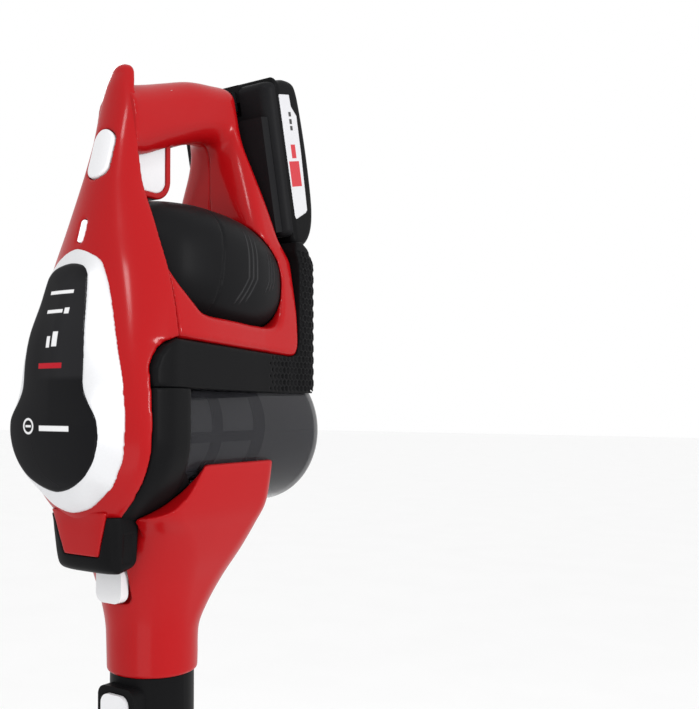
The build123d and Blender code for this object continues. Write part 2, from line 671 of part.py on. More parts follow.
# ---- tube ----
def tube_outer():
    """The upper tube: spigot, shoulder and sleeve."""
    tube = cylinder_z(TUBE_RADIUS, TUBE_BOTTOM, COLLAR_BOTTOM - 0.05) + cylinder_z(SPIGOT_RADIUS, -200, SPIGOT_TOP - 0.5)
    tube -= cylinder_z(SPIGOT_BORE, -300, -100)
    tube -= cylinder_z(TUBE_BORE, TUBE_BOTTOM - 1, -200)
    boss = button_solid(-183, 40, -31.5, 12, 0, 15)
    boss = boss - cylinder_z(SPIGOT_BORE + 1, -300, -100)
    tube += boss
    tube -= button_solid(-182, 30, -40, 17.0, GAP)
    return tube


def tube_button():
    """The white tube release key."""
    return button_solid(-182, 30, -33.6, 6.5)


def tube_clamp():
    """The collar at the tube's foot that guides the inner tube."""
    clamp = cylinder_z(CLAMP_RADIUS, TUBE_BOTTOM - 14, TUBE_BOTTOM + CLAMP_HEIGHT)
    clamp = softened(clamp, clamp.edges().filter_by(GeomType.CIRCLE), [3, 2])
    clamp -= cylinder_z(TUBE_RADIUS, TUBE_BOTTOM, TUBE_BOTTOM + 80)
    return clamp - cylinder_z(INNER_RADIUS + 0.06, TUBE_BOTTOM - 20, TUBE_BOTTOM + 1)


def tube_inner():
    """The lower tube, bright metal, with a stop ring at its head."""
    tube = cylinder_z(INNER_RADIUS, INNER_BOTTOM, INNER_TOP)
    tube += cylinder_z(TUBE_BORE - 0.1, TUBE_BOTTOM + 0.4, TUBE_BOTTOM + 14)
    tube += cylinder_z(TUBE_BORE - 0.1, INNER_TOP - 10, INNER_TOP)
    return tube - cylinder_z(INNER_BORE, INNER_BOTTOM - 1, INNER_TOP + 1)


# ---- floor nozzle ----
SOCKET_TOP, SOCKET_BOTTOM = INNER_BOTTOM + 52, -958.0
SOCKET_OUTER = 25.0


def nozzle_socket():
    """The socket that the tube plugs into, with the swivel ball's cheeks below."""
    socket = cylinder_z(SOCKET_OUTER, SOCKET_BOTTOM, SOCKET_TOP)
    socket = softened(socket, socket.edges().filter_by(GeomType.CIRCLE).sort_by(Axis.Z)[-1:], [2])
    socket -= cylinder_z(INNER_RADIUS + 0.06, INNER_BOTTOM - 0.05, SOCKET_TOP + 1)
    socket -= cylinder_z(17.5, SOCKET_BOTTOM - 1, SOCKET_TOP)
    for side in (-1, 1):
        cheek = block(-13, 13, side * 17, side * 24, YAW_Z - 6, SOCKET_BOTTOM + 1)
        cheek += cylinder_y(13, side * 17, side * 24, 0, YAW_Z - 2)
        socket += cheek
    for side in (-1, 1):
        socket -= cylinder_y(5.06, side * 10, side * 30, 0, YAW_Z)
    socket -= button_solid(SOCKET_TOP - 22, 26, -40, 23, GAP, 8)
    return socket


def nozzle_button():
    """The key that frees the nozzle from the tube."""
    return button_solid(SOCKET_TOP - 22, 26, -28.0, 6.0, 0, 8)


def swivel_yoke():
    """The elbow between socket and nozzle: yaw pins above, pitch barrel below."""
    yoke = cylinder_z(15.5, PITCH_Z, YAW_Z + 8) - cylinder_z(12.5, PITCH_Z - 30, YAW_Z + 20)
    barrel = cylinder_x(18.5, -34, 34, PITCH_Y, PITCH_Z)
    yoke += barrel - cylinder_x(14.5, -31.5, 31.5, PITCH_Y, PITCH_Z)
    yoke -= cylinder_z(12.5, PITCH_Z, YAW_Z + 20)
    for side in (-1, 1):
        yoke += cylinder_y(5.0, side * 13.5, side * 24, 0, YAW_Z)
        yoke += cylinder_x(6.0, side * 33, side * 42, PITCH_Y, PITCH_Z)
    return yoke - block(-12, 12, PITCH_Y + 3, PITCH_Y + 30, PITCH_Z - 8, PITCH_Z + 8)


def nozzle_outline(inset=0.0, z0=FLOOR_Z + 3, z1=FLOOR_Z + NOZZLE_HEIGHT):
    """The nozzle's outer volume: brush tunnel in front, lower deck behind."""
    half = NOZZLE_WIDTH / 2 - inset
    low, high = z0 + inset, z1 - inset
    front, back = NOZZLE_FRONT + inset, NOZZLE_BACK - inset
    profile = Polyline((front, low), (front, low + 26), (front + 14, high), (-36, high), (-14, low + 33),
                       (back, low + 24), (back, low), (front, low))
    face = Plane(origin=(0, 0, 0), x_dir=(0, 1, 0), z_dir=(1, 0, 0)) * make_face(profile)
    body = extrude(face, half, both=True)
    taper = block(-200, 200, -100, -22, -2000, 0)
    plan = Polyline((-half, -22), (-86 + inset, back), (86 - inset, back), (half, -22), (-half, -22))
    deck = Pos(0, 0, -1200) * extrude(make_face(plan), 400)
    return body & (taper + deck)


def nozzle_base():
    """The nozzle's lower body: brush tunnel, air duct and bearings for yoke and wheels."""
    outer = nozzle_outline()
    shell = outer - nozzle_outline(WALL)
    tunnel_skin = cylinder_x(BRUSH_RADIUS + 5.2, -128, 128, BRUSH_Y, BRUSH_Z) & outer
    shell += tunnel_skin
    shell -= cylinder_x(BRUSH_RADIUS + 2.2, -125.5, 140, BRUSH_Y, BRUSH_Z)
    shell -= cylinder_x(5.06, -127.8, -120, BRUSH_Y, BRUSH_Z)
    shell -= block(-118, 118, BRUSH_Y - 22, BRUSH_Y + 20, FLOOR_Z - 5, FLOOR_Z + 12)
    cradle = block(-52, 52, -23.4, 28, FLOOR_Z + 3, FLOOR_Z + 58) & cylinder_x(27, -60, 60, PITCH_Y, PITCH_Z)
    ears = cradle - block(-35, 35, -60, 60, -2000, 0)
    floor_plate = block(-52, 52, -25, 28, FLOOR_Z + 3, FLOOR_Z + 8)
    shell -= block(-35, 35, -28, 60, FLOOR_Z + 12, FLOOR_Z + 90)
    shell += ears + floor_plate
    shell -= cylinder_x(19.2, -35, 35, PITCH_Y, PITCH_Z)
    for side in (-1, 1):
        shell -= cylinder_x(6.06, side * 30, side * 43, PITCH_Y, PITCH_Z)
    shell -= cover_cut(GAP)
    shell -= cylinder_x(9.0, -36, 36, BRUSH_Y + 30, FLOOR_Z + 30) & block(-11, 11, -40, 0, -2000, 0)
    for side in (-1, 1):
        x = side * WHEEL_X
        well = block(x - WHEEL_WIDTH / 2 - 1.2, x + WHEEL_WIDTH / 2 + 1.2, WHEEL_Y - 17, 60, FLOOR_Z - 2, FLOOR_Z + 31)
        fork = block(x - WHEEL_WIDTH / 2 - 3.7, x + WHEEL_WIDTH / 2 + 3.7, WHEEL_Y - 19, WHEEL_Y + 13.5, FLOOR_Z + 4,
                     FLOOR_Z + 26)
        shell += fork & outer
        shell -= well
        shell -= cylinder_x(2.5, x - 7.5, x + 7.5, WHEEL_Y, FLOOR_Z + WHEEL_RADIUS)
    return largest(shell)


def cover_cut(gap=0.0):
    """The recess over the brush tunnel that the cover lies in."""
    return block(-120 - gap, 120 + gap, -77 - gap, -37 + gap, FLOOR_Z + NOZZLE_HEIGHT - 1.6, FLOOR_Z + NOZZLE_HEIGHT + 5)


def nozzle_cover():
    """The red cover over the brush."""
    plate = block(-120, 120, -77, -37, FLOOR_Z + NOZZLE_HEIGHT - 1.6, FLOOR_Z + NOZZLE_HEIGHT + 1.2)
    return softened(plate, plate.edges().filter_by(Axis.Z), [8, 5])


def nozzle_lens():
    """The clear strip of the floor lights."""
    return block(-70, 70, NOZZLE_FRONT - 1.2, NOZZLE_FRONT - 0.05, FLOOR_Z + 20, FLOOR_Z + 27)


def nozzle_bumper():
    """The soft strip along the nozzle's front edge."""
    return block(-127, 127, NOZZLE_FRONT - 2.0, NOZZLE_FRONT - 0.05, FLOOR_Z + 8, FLOOR_Z + 16)


def nozzle_motor():
    """The brush motor behind the tunnel."""
    return cylinder_x(11, 60, 108, -14, FLOOR_Z + 18.5) + cylinder_x(3.2, 107, 118, -14, FLOOR_Z + 18.5)


def brush_core():
    """The brush roll's core and its end journals."""
    return cylinder_x(BRUSH_CORE, -122, 122, BRUSH_Y, BRUSH_Z) + cylinder_x(5, -127.4, 128.0, BRUSH_Y, BRUSH_Z)


def brush_bristles():
    """Six rows of bristles set in the core."""
    rows = []
    for i in range(6):
        row = block(-119, 119, -1.6, 1.6, BRUSH_CORE + 0.02, BRUSH_RADIUS)
        rows.append(Pos(0, BRUSH_Y, BRUSH_Z) * Rot(60 * i, 0, 0) * row)
    return rows


def brush_cap():
    """The end cap that frees the brush roll with a part turn."""
    cap = cylinder_x(BRUSH_RADIUS + 1.9, 126.0, 133.5, BRUSH_Y, BRUSH_Z)
    cap -= cylinder_x(5.06, 120, 128.4, BRUSH_Y, BRUSH_Z)
    return cap + (cylinder_x(9, 133, 137, BRUSH_Y, BRUSH_Z) & block(120, 150, BRUSH_Y - 3, BRUSH_Y + 3, -2000, 0))


def wheel(side):
    """A rear wheel with its axle stubs."""
    x = side * WHEEL_X
    body = cylinder_x(WHEEL_RADIUS, x - WHEEL_WIDTH / 2, x + WHEEL_WIDTH / 2, WHEEL_Y, FLOOR_Z + WHEEL_RADIUS)
    body = softened(body, body.edges().filter_by(GeomType.CIRCLE), [1.5, 1.0])
    return body + cylinder_x(2.44, x - 7.3, x + 7.3, WHEEL_Y, FLOOR_Z + WHEEL_RADIUS)


# ---- battery ----
def battery_frame():
    """The battery's leaning frame: z along its length, y out through its thickness, foot on the rail face."""
    lean = radians(BATTERY_LEAN)
    return Plane(origin=BATTERY_FOOT, x_dir=(1, 0, 0), z_dir=(0, -sin(lean), cos(lean)))


def battery_body(inset=0.0):
    """The battery's outer volume."""
    w, t, h = BATTERY_SIZE
    body = block(-w / 2 + inset, w / 2 - inset, 8 + inset, t - inset, 2 + inset, h - inset)
    body = softened(body, body.edges().filter_by(Axis.Z), [9 - inset, 6 - inset])
    return softened(body, body.faces().sort_by(Axis.Y)[-1].edges(), [5 - inset / 2, 3 - inset / 2])


def battery_case():
    """The battery's outer case."""
    shell = battery_body() - battery_body(WALL) - block(-60, 60, -10, 16, -10, 200)
    return battery_frame() * shell


def battery_cover():
    """The battery's inner cover with its two rails."""
    shell = (battery_body() - battery_body(WALL)) & block(-60, 60, -10, 15.95, -10, 200)
    rails = block(-26, 26, 4.2, 8.2, 6, 84) - block(-20, 20, 0, 8.1, 0, 100)
    lips = block(-29, -20, 1.0, 4.3, 6, 84) + block(20, 29, 1.0, 4.3, 6, 84)
    shell += rails + lips
    shell -= battery_latch_well()
    return battery_frame() * shell


def battery_latch_well():
    """The window for the battery's release key."""
    return block(-12.4, 12.4, 5, 15.95, 88.0, 120)


def battery_latch():
    """The battery's release key at its head."""
    key = block(-12, 12, 9.0, 15.6, 97.5, 109.5) + block(-9, 9, 4.2, 9.2, 92, 105)
    return battery_frame() * key


def battery_cells():
    """Five round cells side by side."""
    cells = []
    for i in range(5):
        cells.append(battery_frame() * cylinder_x(CELL_RADIUS, -CELL_LENGTH / 2, CELL_LENGTH / 2, 29.5, 14.5 + 19 * i))
    return cells


def battery_label():
    """Raised label strips on the battery's two flanks."""
    w, t, h = BATTERY_SIZE
    strips = []
    for side in (-1, 1):
        strips.append(battery_frame() * block(side * w / 2, side * (w / 2 + 0.5), 24, 36, 14, 94))
    return strips


def battery_rails():
    """The rails on the pillar that hold the battery, with the contact block."""
    plate = block(-34, 34, 0.3, 0.9, 6, 84)
    grips = block(-34, -29.3, 0.3, 7.0, 6, 84) + block(29.3, 34, 0.3, 7.0, 6, 84)
    hooks = block(-34, -26.6, 4.6, 7.6, 6, 84) + block(26.6, 34, 4.6, 7.6, 6, 84)
    contact = block(-10, 10, 0.3, 6.0, 8, 26)
    return battery_frame() * (plate + grips + hooks + contact)


def nodes():
    """Every node of the object with its solids."""
    return {
        "front_frame": front_frame, "trim_bevel": trim_bevel, "face_plate": face_plate,
        "turbo_button": turbo_button, "status_light": status_light,
        "handle_right": lambda: handle_half(1), "handle_left": lambda: handle_half(-1),
        "handle_screws": handle_screws, "trigger": trigger, "trigger_shoe": trigger_shoe,
        "trigger_spring": trigger_spring, "trigger_switch": trigger_switch, "control_board": control_board,
        "motor_housing": motor_housing, "motor_stator": motor_stator, "motor_shaft": motor_shaft,
        "impeller": impeller, "motor_mounts": motor_mounts,
        "exhaust_housing": exhaust_housing, "exhaust_grille": exhaust_grille, "exhaust_filter": exhaust_filter,
        "filter_seat": filter_seat, "seat_seal": seat_seal, "latch_hook": latch_hook, "latch_insert": latch_insert,
        "container_bowl": container_bowl, "suction_neck": suction_neck, "container_button": container_button,
        "filter_cage": filter_cage, "filter_mesh": filter_mesh, "pleated_filter": pleated_filter,
        "clean_knob": clean_knob, "inlet_flap": inlet_flap,
        "tube_outer": tube_outer, "tube_button": tube_button, "tube_clamp": tube_clamp, "tube_inner": tube_inner,
        "nozzle_socket": nozzle_socket, "nozzle_button": nozzle_button, "swivel_yoke": swivel_yoke,
        "nozzle_base": nozzle_base, "nozzle_cover": nozzle_cover, "nozzle_lens": nozzle_lens,
        "nozzle_bumper": nozzle_bumper, "nozzle_motor": nozzle_motor, "brush_core": brush_core,
        "brush_bristles": brush_bristles, "brush_cap": brush_cap,
        "wheel_right": lambda: wheel(1), "wheel_left": lambda: wheel(-1),
        "battery_case": battery_case, "battery_cover": battery_cover, "battery_latch": battery_latch,
        "battery_cells": battery_cells, "battery_label": battery_label, "battery_rails": battery_rails,
    }


def main():
    """Writes one STEP for each node, moved to the row frame."""
    os.makedirs("parts", exist_ok=True)
    for name, make in nodes().items():
        made = make()
        shapes = made if isinstance(made, list) else [made]
        solids = [solid for shape in shapes for solid in shape.solids()]
        moved = Pos(0, -DOCK_Y, -DOCK_Z) * Compound(solids)
        export_step(moved, f"parts/{name}.step")


if __name__ == "__main__":
    main()
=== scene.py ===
"""Looks of a cordless stick vacuum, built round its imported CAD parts.

Lengths are metres in the row frame: the origin is the dock slot's mouth, -Y is the front with the face plate,
+Z is up along the tube. Shapes are drawn in tube millimetres, as the CAD was, and moved by `ROW`.
"""

import json
import logging
import math
from dataclasses import dataclass
from enum import Enum
from typing import Any, Callable, Sequence

import bpy
import numpy as np
import openvdb
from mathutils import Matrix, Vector


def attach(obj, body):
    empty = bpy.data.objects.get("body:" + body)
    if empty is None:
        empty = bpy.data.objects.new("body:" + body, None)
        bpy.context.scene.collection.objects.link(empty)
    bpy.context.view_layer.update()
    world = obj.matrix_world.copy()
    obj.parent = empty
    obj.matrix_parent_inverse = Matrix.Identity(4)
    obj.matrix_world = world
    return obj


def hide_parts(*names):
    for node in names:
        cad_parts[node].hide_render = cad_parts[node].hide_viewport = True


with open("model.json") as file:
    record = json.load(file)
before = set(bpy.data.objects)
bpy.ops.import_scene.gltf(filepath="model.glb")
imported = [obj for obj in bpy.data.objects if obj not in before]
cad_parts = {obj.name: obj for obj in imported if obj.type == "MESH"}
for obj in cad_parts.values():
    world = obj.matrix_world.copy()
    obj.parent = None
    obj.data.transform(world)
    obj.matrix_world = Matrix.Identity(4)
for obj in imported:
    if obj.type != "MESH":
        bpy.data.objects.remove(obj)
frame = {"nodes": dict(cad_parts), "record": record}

logging.basicConfig(level=logging.INFO, format="%(message)s")
LOG = logging.getLogger("vacuum")

MM = 0.001
PER_METRE = 1000.0
ROW = Vector((0.0, -0.121, -0.062))
FLOOR_HEIGHT = -1.122
BODY_OF = {node: body for body, nodes in frame["record"]["behaviour"]["bodies"].items() for node in nodes}
SLOT_OF = {part["node"]: part["material_slot"] for part in frame["record"]["subparts"]}


def to_row(x: float, y: float, z: float) -> Vector:
    """Moves a point from tube millimetres to the row frame.

    Args:
        x: Width, positive on the camera's side.
        y: Depth, negative at the front.
        z: Height over the handle's reference plane.

    Returns:
        The point in metres.
    """
    return Vector((x * MM, y * MM, z * MM)) + ROW


# ---- shader expressions ----
def add_node(
    tree: bpy.types.NodeTree, kind: str, settings: dict[str, Any], inputs: dict[Any, Any]
) -> bpy.types.Node:
    """Adds one shader node.

    Args:
        tree: The material's node tree.
        kind: The node's type.
        settings: Its properties, set first.
        inputs: Values, sockets or terms for its sockets, by name or number.

    Returns:
        The node.
    """
    node = tree.nodes.new(kind)
    for key, value in settings.items():
        setattr(node, key, value)
    for key, value in inputs.items():
        if isinstance(value, Term):
            value = value.socket
        if isinstance(value, bpy.types.NodeSocket):
            tree.links.new(value, node.inputs[key])
        else:
            node.inputs[key].default_value = value
    return node


class Term:
    """A shader socket that can be added, multiplied and compared like a number."""

    def __init__(self, tree: bpy.types.NodeTree, socket: bpy.types.NodeSocket) -> None:
        """Wraps a socket of a material's node tree."""
        self.tree = tree
        self.socket = socket

    def _math(self, operation: str, *others: "Term | float", clamp: bool = False) -> "Term":
        """Adds one math node on this socket and the others.

        Args:
            operation: What it works out.
            others: Its other values.
            clamp: Whether the result is held between 0 and 1.

        Returns:
            The result.
        """
        settings = {"operation": operation, "use_clamp": clamp}
        inputs = dict(enumerate((self, *others)))
        return Term(self.tree, add_node(self.tree, "ShaderNodeMath", settings, inputs).outputs[0])

    def __add__(self, other: "Term | float") -> "Term":
        """This plus the other."""
        return self._math("ADD", other)

    def __radd__(self, other: float) -> "Term":
        """A number plus this."""
        return self._math("ADD", other)

    def __sub__(self, other: "Term | float") -> "Term":
        """This less the other."""
        return self._math("SUBTRACT", other)

    def __rsub__(self, other: float) -> "Term":
        """A number less this."""
        return (self * -1.0) + other

    def __mul__(self, other: "Term | float") -> "Term":
        """This times the other."""
        return self._math("MULTIPLY", other)

    def __rmul__(self, other: float) -> "Term":
        """A number times this."""
        return self._math("MULTIPLY", other)

    def __abs__(self) -> "Term":
        """This without its sign."""
        return self._math("ABSOLUTE")

    def root(self) -> "Term":
        """The square root."""
        return self._math("SQRT")

    def most(self, other: "Term | float") -> "Term":
        """The larger of the two."""
        return self._math("MAXIMUM", other)

    def clamped(self) -> "Term":
        """This held between 0 and 1."""
        return self._math("ADD", 0.0, clamp=True)

    def step(self, low: float, high: float) -> "Term":
        """A ramp from 0 at low to 1 at high."""
        return ((self - low) * (1.0 / (high - low))).clamped()


class Shader:
    """One procedural material: a Principled shader with fields that vary over the object."""

    def __init__(self, name: str) -> None:
        """Makes an empty material.

        Args:
            name: The material's name.
        """
        self.material = bpy.data.materials.new(name)
        self.material.use_nodes = True
        self.tree = self.material.node_tree
        self.principled = self.tree.nodes["Principled BSDF"]
        self.place = self.node("ShaderNodeTexCoord").outputs["Object"]
        self.x, self.y, self.z = self.parts(self.place)

    def node(
        self, kind: str, settings: dict[str, Any] | None = None, inputs: dict[Any, Any] | None = None
    ) -> bpy.types.Node:
        """Adds a node of any type to this material."""
        return add_node(self.tree, kind, settings or {}, inputs or {})

    def parts(self, vector: bpy.types.NodeSocket) -> tuple[Term, Term, Term]:
        """A vector's three parts."""
        split = self.node("ShaderNodeSeparateXYZ", inputs={0: vector})
        return tuple(Term(self.tree, split.outputs[i]) for i in range(3))

    def tube(self, axis: int) -> Term:
        """One coordinate in tube millimetres: 0 for X, 1 for Y, 2 for Z."""
        return ((self.x, self.y, self.z)[axis] - ROW[axis]) * PER_METRE

    def noise(self, scale: float, detail: float = 2.0, stretch: Sequence[float] = (1, 1, 1)) -> Term:
        """Smooth noise around 0.5.

        Args:
            scale: How many grains to a metre, about.
            detail: How many finer layers it has.
            stretch: How it is drawn out along each axis.

        Returns:
            The noise.
        """
        mapped = self.node("ShaderNodeMapping", inputs={"Vector": self.place, "Scale": tuple(stretch)})
        inputs = {"Scale": scale, "Detail": detail, "Vector": mapped.outputs[0]}
        return Term(self.tree, self.node("ShaderNodeTexNoise", inputs=inputs).outputs[0])

    def blend(self, share: Term, first: Any, second: Any) -> bpy.types.NodeSocket:
        """A colour that runs from first to second.

        Args:
            share: How much of the second there is.
            first: A colour or a socket.
            second: The other.

        Returns:
            The colour's socket.
        """
        values = [v if isinstance(v, bpy.types.NodeSocket) else (*v[:3], 1.0) for v in (first, second)]
        inputs = {0: share, 6: values[0], 7: values[1]}
        return self.node("ShaderNodeMix", {"data_type": "RGBA"}, inputs).outputs[2]

    def drive(self, name: str, value: "Term | bpy.types.NodeSocket") -> None:
        """Links a varying value to one of the shader's sockets."""
        socket = value.socket if isinstance(value, Term) else value
        self.tree.links.new(socket, self.principled.inputs[name])

    def bump(self, height: Term, distance: float) -> None:
        """Bumps the surface by a height field of that many metres."""
        made = self.node("ShaderNodeBump", inputs={"Distance": distance, "Height": height})
        self.drive("Normal", made.outputs[0])


@dataclass(frozen=True)
class Finish:
    """What one kind of surface is like.

    Attributes:
        name: The material's name.
        colour: Linear base colour.
        shade: A second colour that noise mixes in.
        roughness: The middle roughness.
        spread: How far noise moves the roughness.
        metallic: 1 for metal.
        coat: Clear coat weight.
        coat_roughness: The coat's roughness.
        grain: Noise scale of the fine texture.
        relief: The fine texture's height in metres.
        stretch: How the fine texture is drawn out along each axis.
        alpha: Cover of a see-through plastic.
        glow: Emission strength.
        sheen: Sheen weight for cloth.
        specular: How strongly the plain surface reflects.
    """

    name: str
    colour: tuple[float, float, float]
    shade: tuple[float, float, float]
    roughness: float = 0.4
    spread: float = 0.08
    metallic: float = 0.0
    coat: float = 0.0
    coat_roughness: float = 0.05
    grain: float = 900.0
    relief: float = 0.00002
    stretch: tuple[float, float, float] = (1.0, 1.0, 1.0)
    alpha: float = 1.0
    glow: float = 0.0
    sheen: float = 0.0
    specular: float = 0.5

    def shader(self) -> Shader:
        """Builds the material's shader."""
        made = Shader(self.name)
        inputs = made.principled.inputs
        inputs["Metallic"].default_value = self.metallic
        inputs["Coat Weight"].default_value = self.coat
        inputs["Coat Roughness"].default_value = self.coat_roughness
        inputs["Alpha"].default_value = self.alpha
        inputs["Sheen Weight"].default_value = self.sheen
        inputs["Specular IOR Level"].default_value = self.specular
        if self.glow:
            inputs["Emission Strength"].default_value = self.glow
            inputs["Emission Color"].default_value = (*self.colour, 1.0)
        broad = made.noise(14.0, 3.0)
        fine = made.noise(self.grain, 2.0, self.stretch)
        tone = (broad * 0.7 + fine * 0.3).step(0.3, 0.7)
        made.drive("Base Color", made.blend(tone, self.colour, self.shade))
        roughness = broad * self.spread + fine * self.spread + (self.roughness - self.spread)
        made.drive("Roughness", roughness.clamped())
        if self.relief:
            made.bump(fine, self.relief)
        return made


class Slot(Enum):
    """The record's material slots, each with its finish."""

    RED_SHELL = Finish("red_shell", (0.36, 0.0030, 0.0048), (0.34, 0.0026, 0.0044), 0.38, 0.04,
                       coat=0.28, coat_roughness=0.16, relief=0.000002, specular=0.05)
    BRIGHT_TRIM = Finish("bright_trim", (0.70, 0.705, 0.72), (0.64, 0.645, 0.66), 0.40, 0.03, metallic=0.35,
                         relief=0.000003)
    BLACK_GLOSS = Finish("black_gloss", (0.005, 0.005, 0.006), (0.007, 0.007, 0.008), 0.12, 0.03, coat=0.1,
                         relief=0.0, specular=0.04)
    BLACK_PLASTIC = Finish("black_plastic", (0.0045, 0.0045, 0.005), (0.007, 0.007, 0.0075), 0.42, 0.08,
                           grain=1400.0, specular=0.04)
    CHARCOAL_PLASTIC = Finish("charcoal_plastic", (0.008, 0.008, 0.009), (0.012, 0.012, 0.013), 0.45, 0.08,
                              grain=1200.0, specular=0.05)
    WHITE_KEY = Finish("white_key", (0.74, 0.74, 0.75), (0.68, 0.68, 0.70), 0.30, 0.04, coat=0.1,
                       relief=0.000004, specular=0.3)
    LIGHT_PIPE = Finish("light_pipe", (0.88, 0.90, 0.93), (0.82, 0.85, 0.90), 0.25, 0.04, glow=0.5, relief=0.0)
    SMOKED_CLEAR = Finish("smoked_clear", (0.020, 0.020, 0.023), (0.028, 0.028, 0.032), 0.08, 0.03, coat=0.1,
                          relief=0.0, alpha=0.66, specular=0.10)
    LABEL = Finish("label", (0.30, 0.31, 0.33), (0.26, 0.27, 0.29), 0.4, 0.05)
    RUBBER = Finish("rubber", (0.016, 0.016, 0.016), (0.024, 0.024, 0.024), 0.75, 0.1, grain=700.0)
    STEEL = Finish("steel", (0.56, 0.56, 0.57), (0.48, 0.48, 0.50), 0.3, 0.08,
                   metallic=1.0, stretch=(1, 1, 0.1))
    TUBE_METAL = Finish("tube_metal", (0.34, 0.345, 0.36), (0.29, 0.295, 0.31), 0.30, 0.06, metallic=1.0,
                        stretch=(1.0, 1.0, 0.04), grain=1800.0, relief=0.00001)
    MOTOR_METAL = Finish("motor_metal", (0.50, 0.50, 0.52), (0.42, 0.42, 0.44), 0.4, 0.08, metallic=1.0)
    BOARD_GREEN = Finish("board_green", (0.02, 0.12, 0.05), (0.03, 0.15, 0.06), 0.35, 0.06)
    FILTER_MEDIA = Finish("filter_media", (0.72, 0.70, 0.64), (0.60, 0.58, 0.52), 0.9, 0.05, sheen=0.3)
    BRISTLE_RED = Finish("bristle_red", (0.42, 0.02, 0.02), (0.20, 0.01, 0.01), 0.8, 0.1,
                         stretch=(6, 1, 1), sheen=0.3)
    CELL_WRAP = Finish("cell_wrap", (0.03, 0.12, 0.28), (0.02, 0.09, 0.22), 0.3, 0.05)


MESH_GREY = Finish("mesh_grey", (0.85, 0.85, 0.86), (0.70, 0.70, 0.72), 0.6, 0.1, specular=0.2)


class Palette:
    """Makes each finish's material once and hands it out by slot."""

    def __init__(self) -> None:
        """Starts with no materials."""
        self._made: dict[str, bpy.types.Material] = {}

    def __getitem__(self, slot: Slot) -> bpy.types.Material:
        """A slot's material, made the first time it is asked for."""
        if slot.name not in self._made:
            self._made[slot.name] = slot.value.shader().material
        return self._made[slot.name]

    def keep(self, name: str, build: Callable[[], bpy.types.Material]) -> bpy.types.Material:
        """A special material, made the first time it is asked for.

        Args:
            name: The name it is kept under.
            build: What makes it.

        Returns:
            The material.
        """
        if name not in self._made:
            self._made[name] = build()
        return self._made[name]


class Dress:
    """Gives the CAD parts that stay visible their finishes."""

    def __init__(self, palette: Palette) -> None:
        """Keeps the palette and the slots by name."""
        self.palette = palette
        self.slots = {s.value.name: s for s in Slot}

    def node(self, name: str, material: bpy.types.Material | None = None) -> None:
        """Puts a material on one CAD part.

        Args:
            name: The part's node.
            material: The material, its slot's own unless one is given.
        """
        part = frame["nodes"][name]
        part.data.materials.clear()
        part.data.materials.append(material or self.palette[self.slots[SLOT_OF[name]]])

    def everything(self) -> None:
        """Puts the slot's finish on every CAD part."""
        for name in frame["nodes"]:
            self.node(name)
        self.node("filter_mesh", self.palette.keep("mesh_grey", lambda: MESH_GREY.shader().material))
        LOG.info("dressed %d CAD parts", len(frame["nodes"]))


# ---- implicit shapes ----
Field = np.ndarray
FIELD_REACH = 3.0


def least(a: Field, b: Field, blend: float = 0.0) -> Field:
    """The union of two fields.

    Args:
        a: One field.
        b: The other.
        blend: How wide the soft joint between them is.

    Returns:
        The union.
    """
    if blend <= 0:
        return np.minimum(a, b)
    share = np.maximum(blend - np.abs(a - b), 0) / blend
    return np.minimum(a, b) - share * share * blend / 4


def most(a: Field, b: Field, blend: float = 0.0) -> Field:
    """The overlap of two fields, with a soft joint of width blend."""
    return -least(-a, -b, blend)


def rounded(a: Field, b: Field, radius: "float | Field") -> Field:
    """The overlap of two fields whose shared edge is rounded to a radius."""
    u, v = a + radius, b + radius
    return np.hypot(np.maximum(u, 0), np.maximum(v, 0)) + np.minimum(np.maximum(u, v), 0) - radius


def curve(points: Sequence[Sequence[float]], samples: int = 12, closed: bool = True) -> np.ndarray:
    """A smooth curve through points, as many short chords.

    Args:
        points: The points it passes.
        samples: How many chords each span gets.
        closed: Whether it runs back to its start.

    Returns:
        The chords' ends, one row each.
    """
    spots = np.asarray(points, float)
    count = len(spots)
    spans = count if closed else count - 1
    out = []
    for i in range(spans):
        if closed:
            a, b, c, d = (spots[(i + k) % count] for k in (-1, 0, 1, 2))
        else:
            a, b, c, d = (spots[min(max(i + k, 0), count - 1)] for k in (-1, 0, 1, 2))
        t = np.linspace(0, 1, samples, endpoint=False)[:, None]
        line = 2 * b + (c - a) * t
        out.append(0.5 * (line + (2 * a - 5 * b + 4 * c - d) * t**2 + (3 * b - a - 3 * c + d) * t**3))
    if not closed:
        out.append(spots[-1:])
    return np.vstack(out)


def inside(points: np.ndarray, u: Field, v: Field) -> Field:
    """Signed distance to a closed outline.

    Args:
        points: The outline's corners.
        u: First coordinate of the places asked for.
        v: Their second coordinate.

    Returns:
        The distance, negative inside.
    """
    best = np.full(np.broadcast(u, v).shape, 1e9)
    turns = np.zeros(best.shape, int)
    for (x0, y0), (x1, y1) in zip(points, np.roll(points, -1, axis=0)):
        dx, dy = x1 - x0, y1 - y0
        t = np.clip(((u - x0) * dx + (v - y0) * dy) / (dx * dx + dy * dy + 1e-12), 0, 1)
        best = np.minimum(best, (u - x0 - t * dx) ** 2 + (v - y0 - t * dy) ** 2)
        side = dx * (v - y0) - dy * (u - x0)
        up = (y0 <= v) & (y1 > v) & (side > 0)
        down = (y0 > v) & (y1 <= v) & (side < 0)
        turns += up.astype(int) - down.astype(int)
    return np.where(turns != 0, -1.0, 1.0) * np.sqrt(best)


def along(at: Field, table: Sequence[Sequence[float]]) -> Field:
    """Smoothly reads a table of (place, value) rows."""
    rows = curve(sorted(table), 8, closed=False)
    return np.interp(at, rows[:, 0], rows[:, 1])


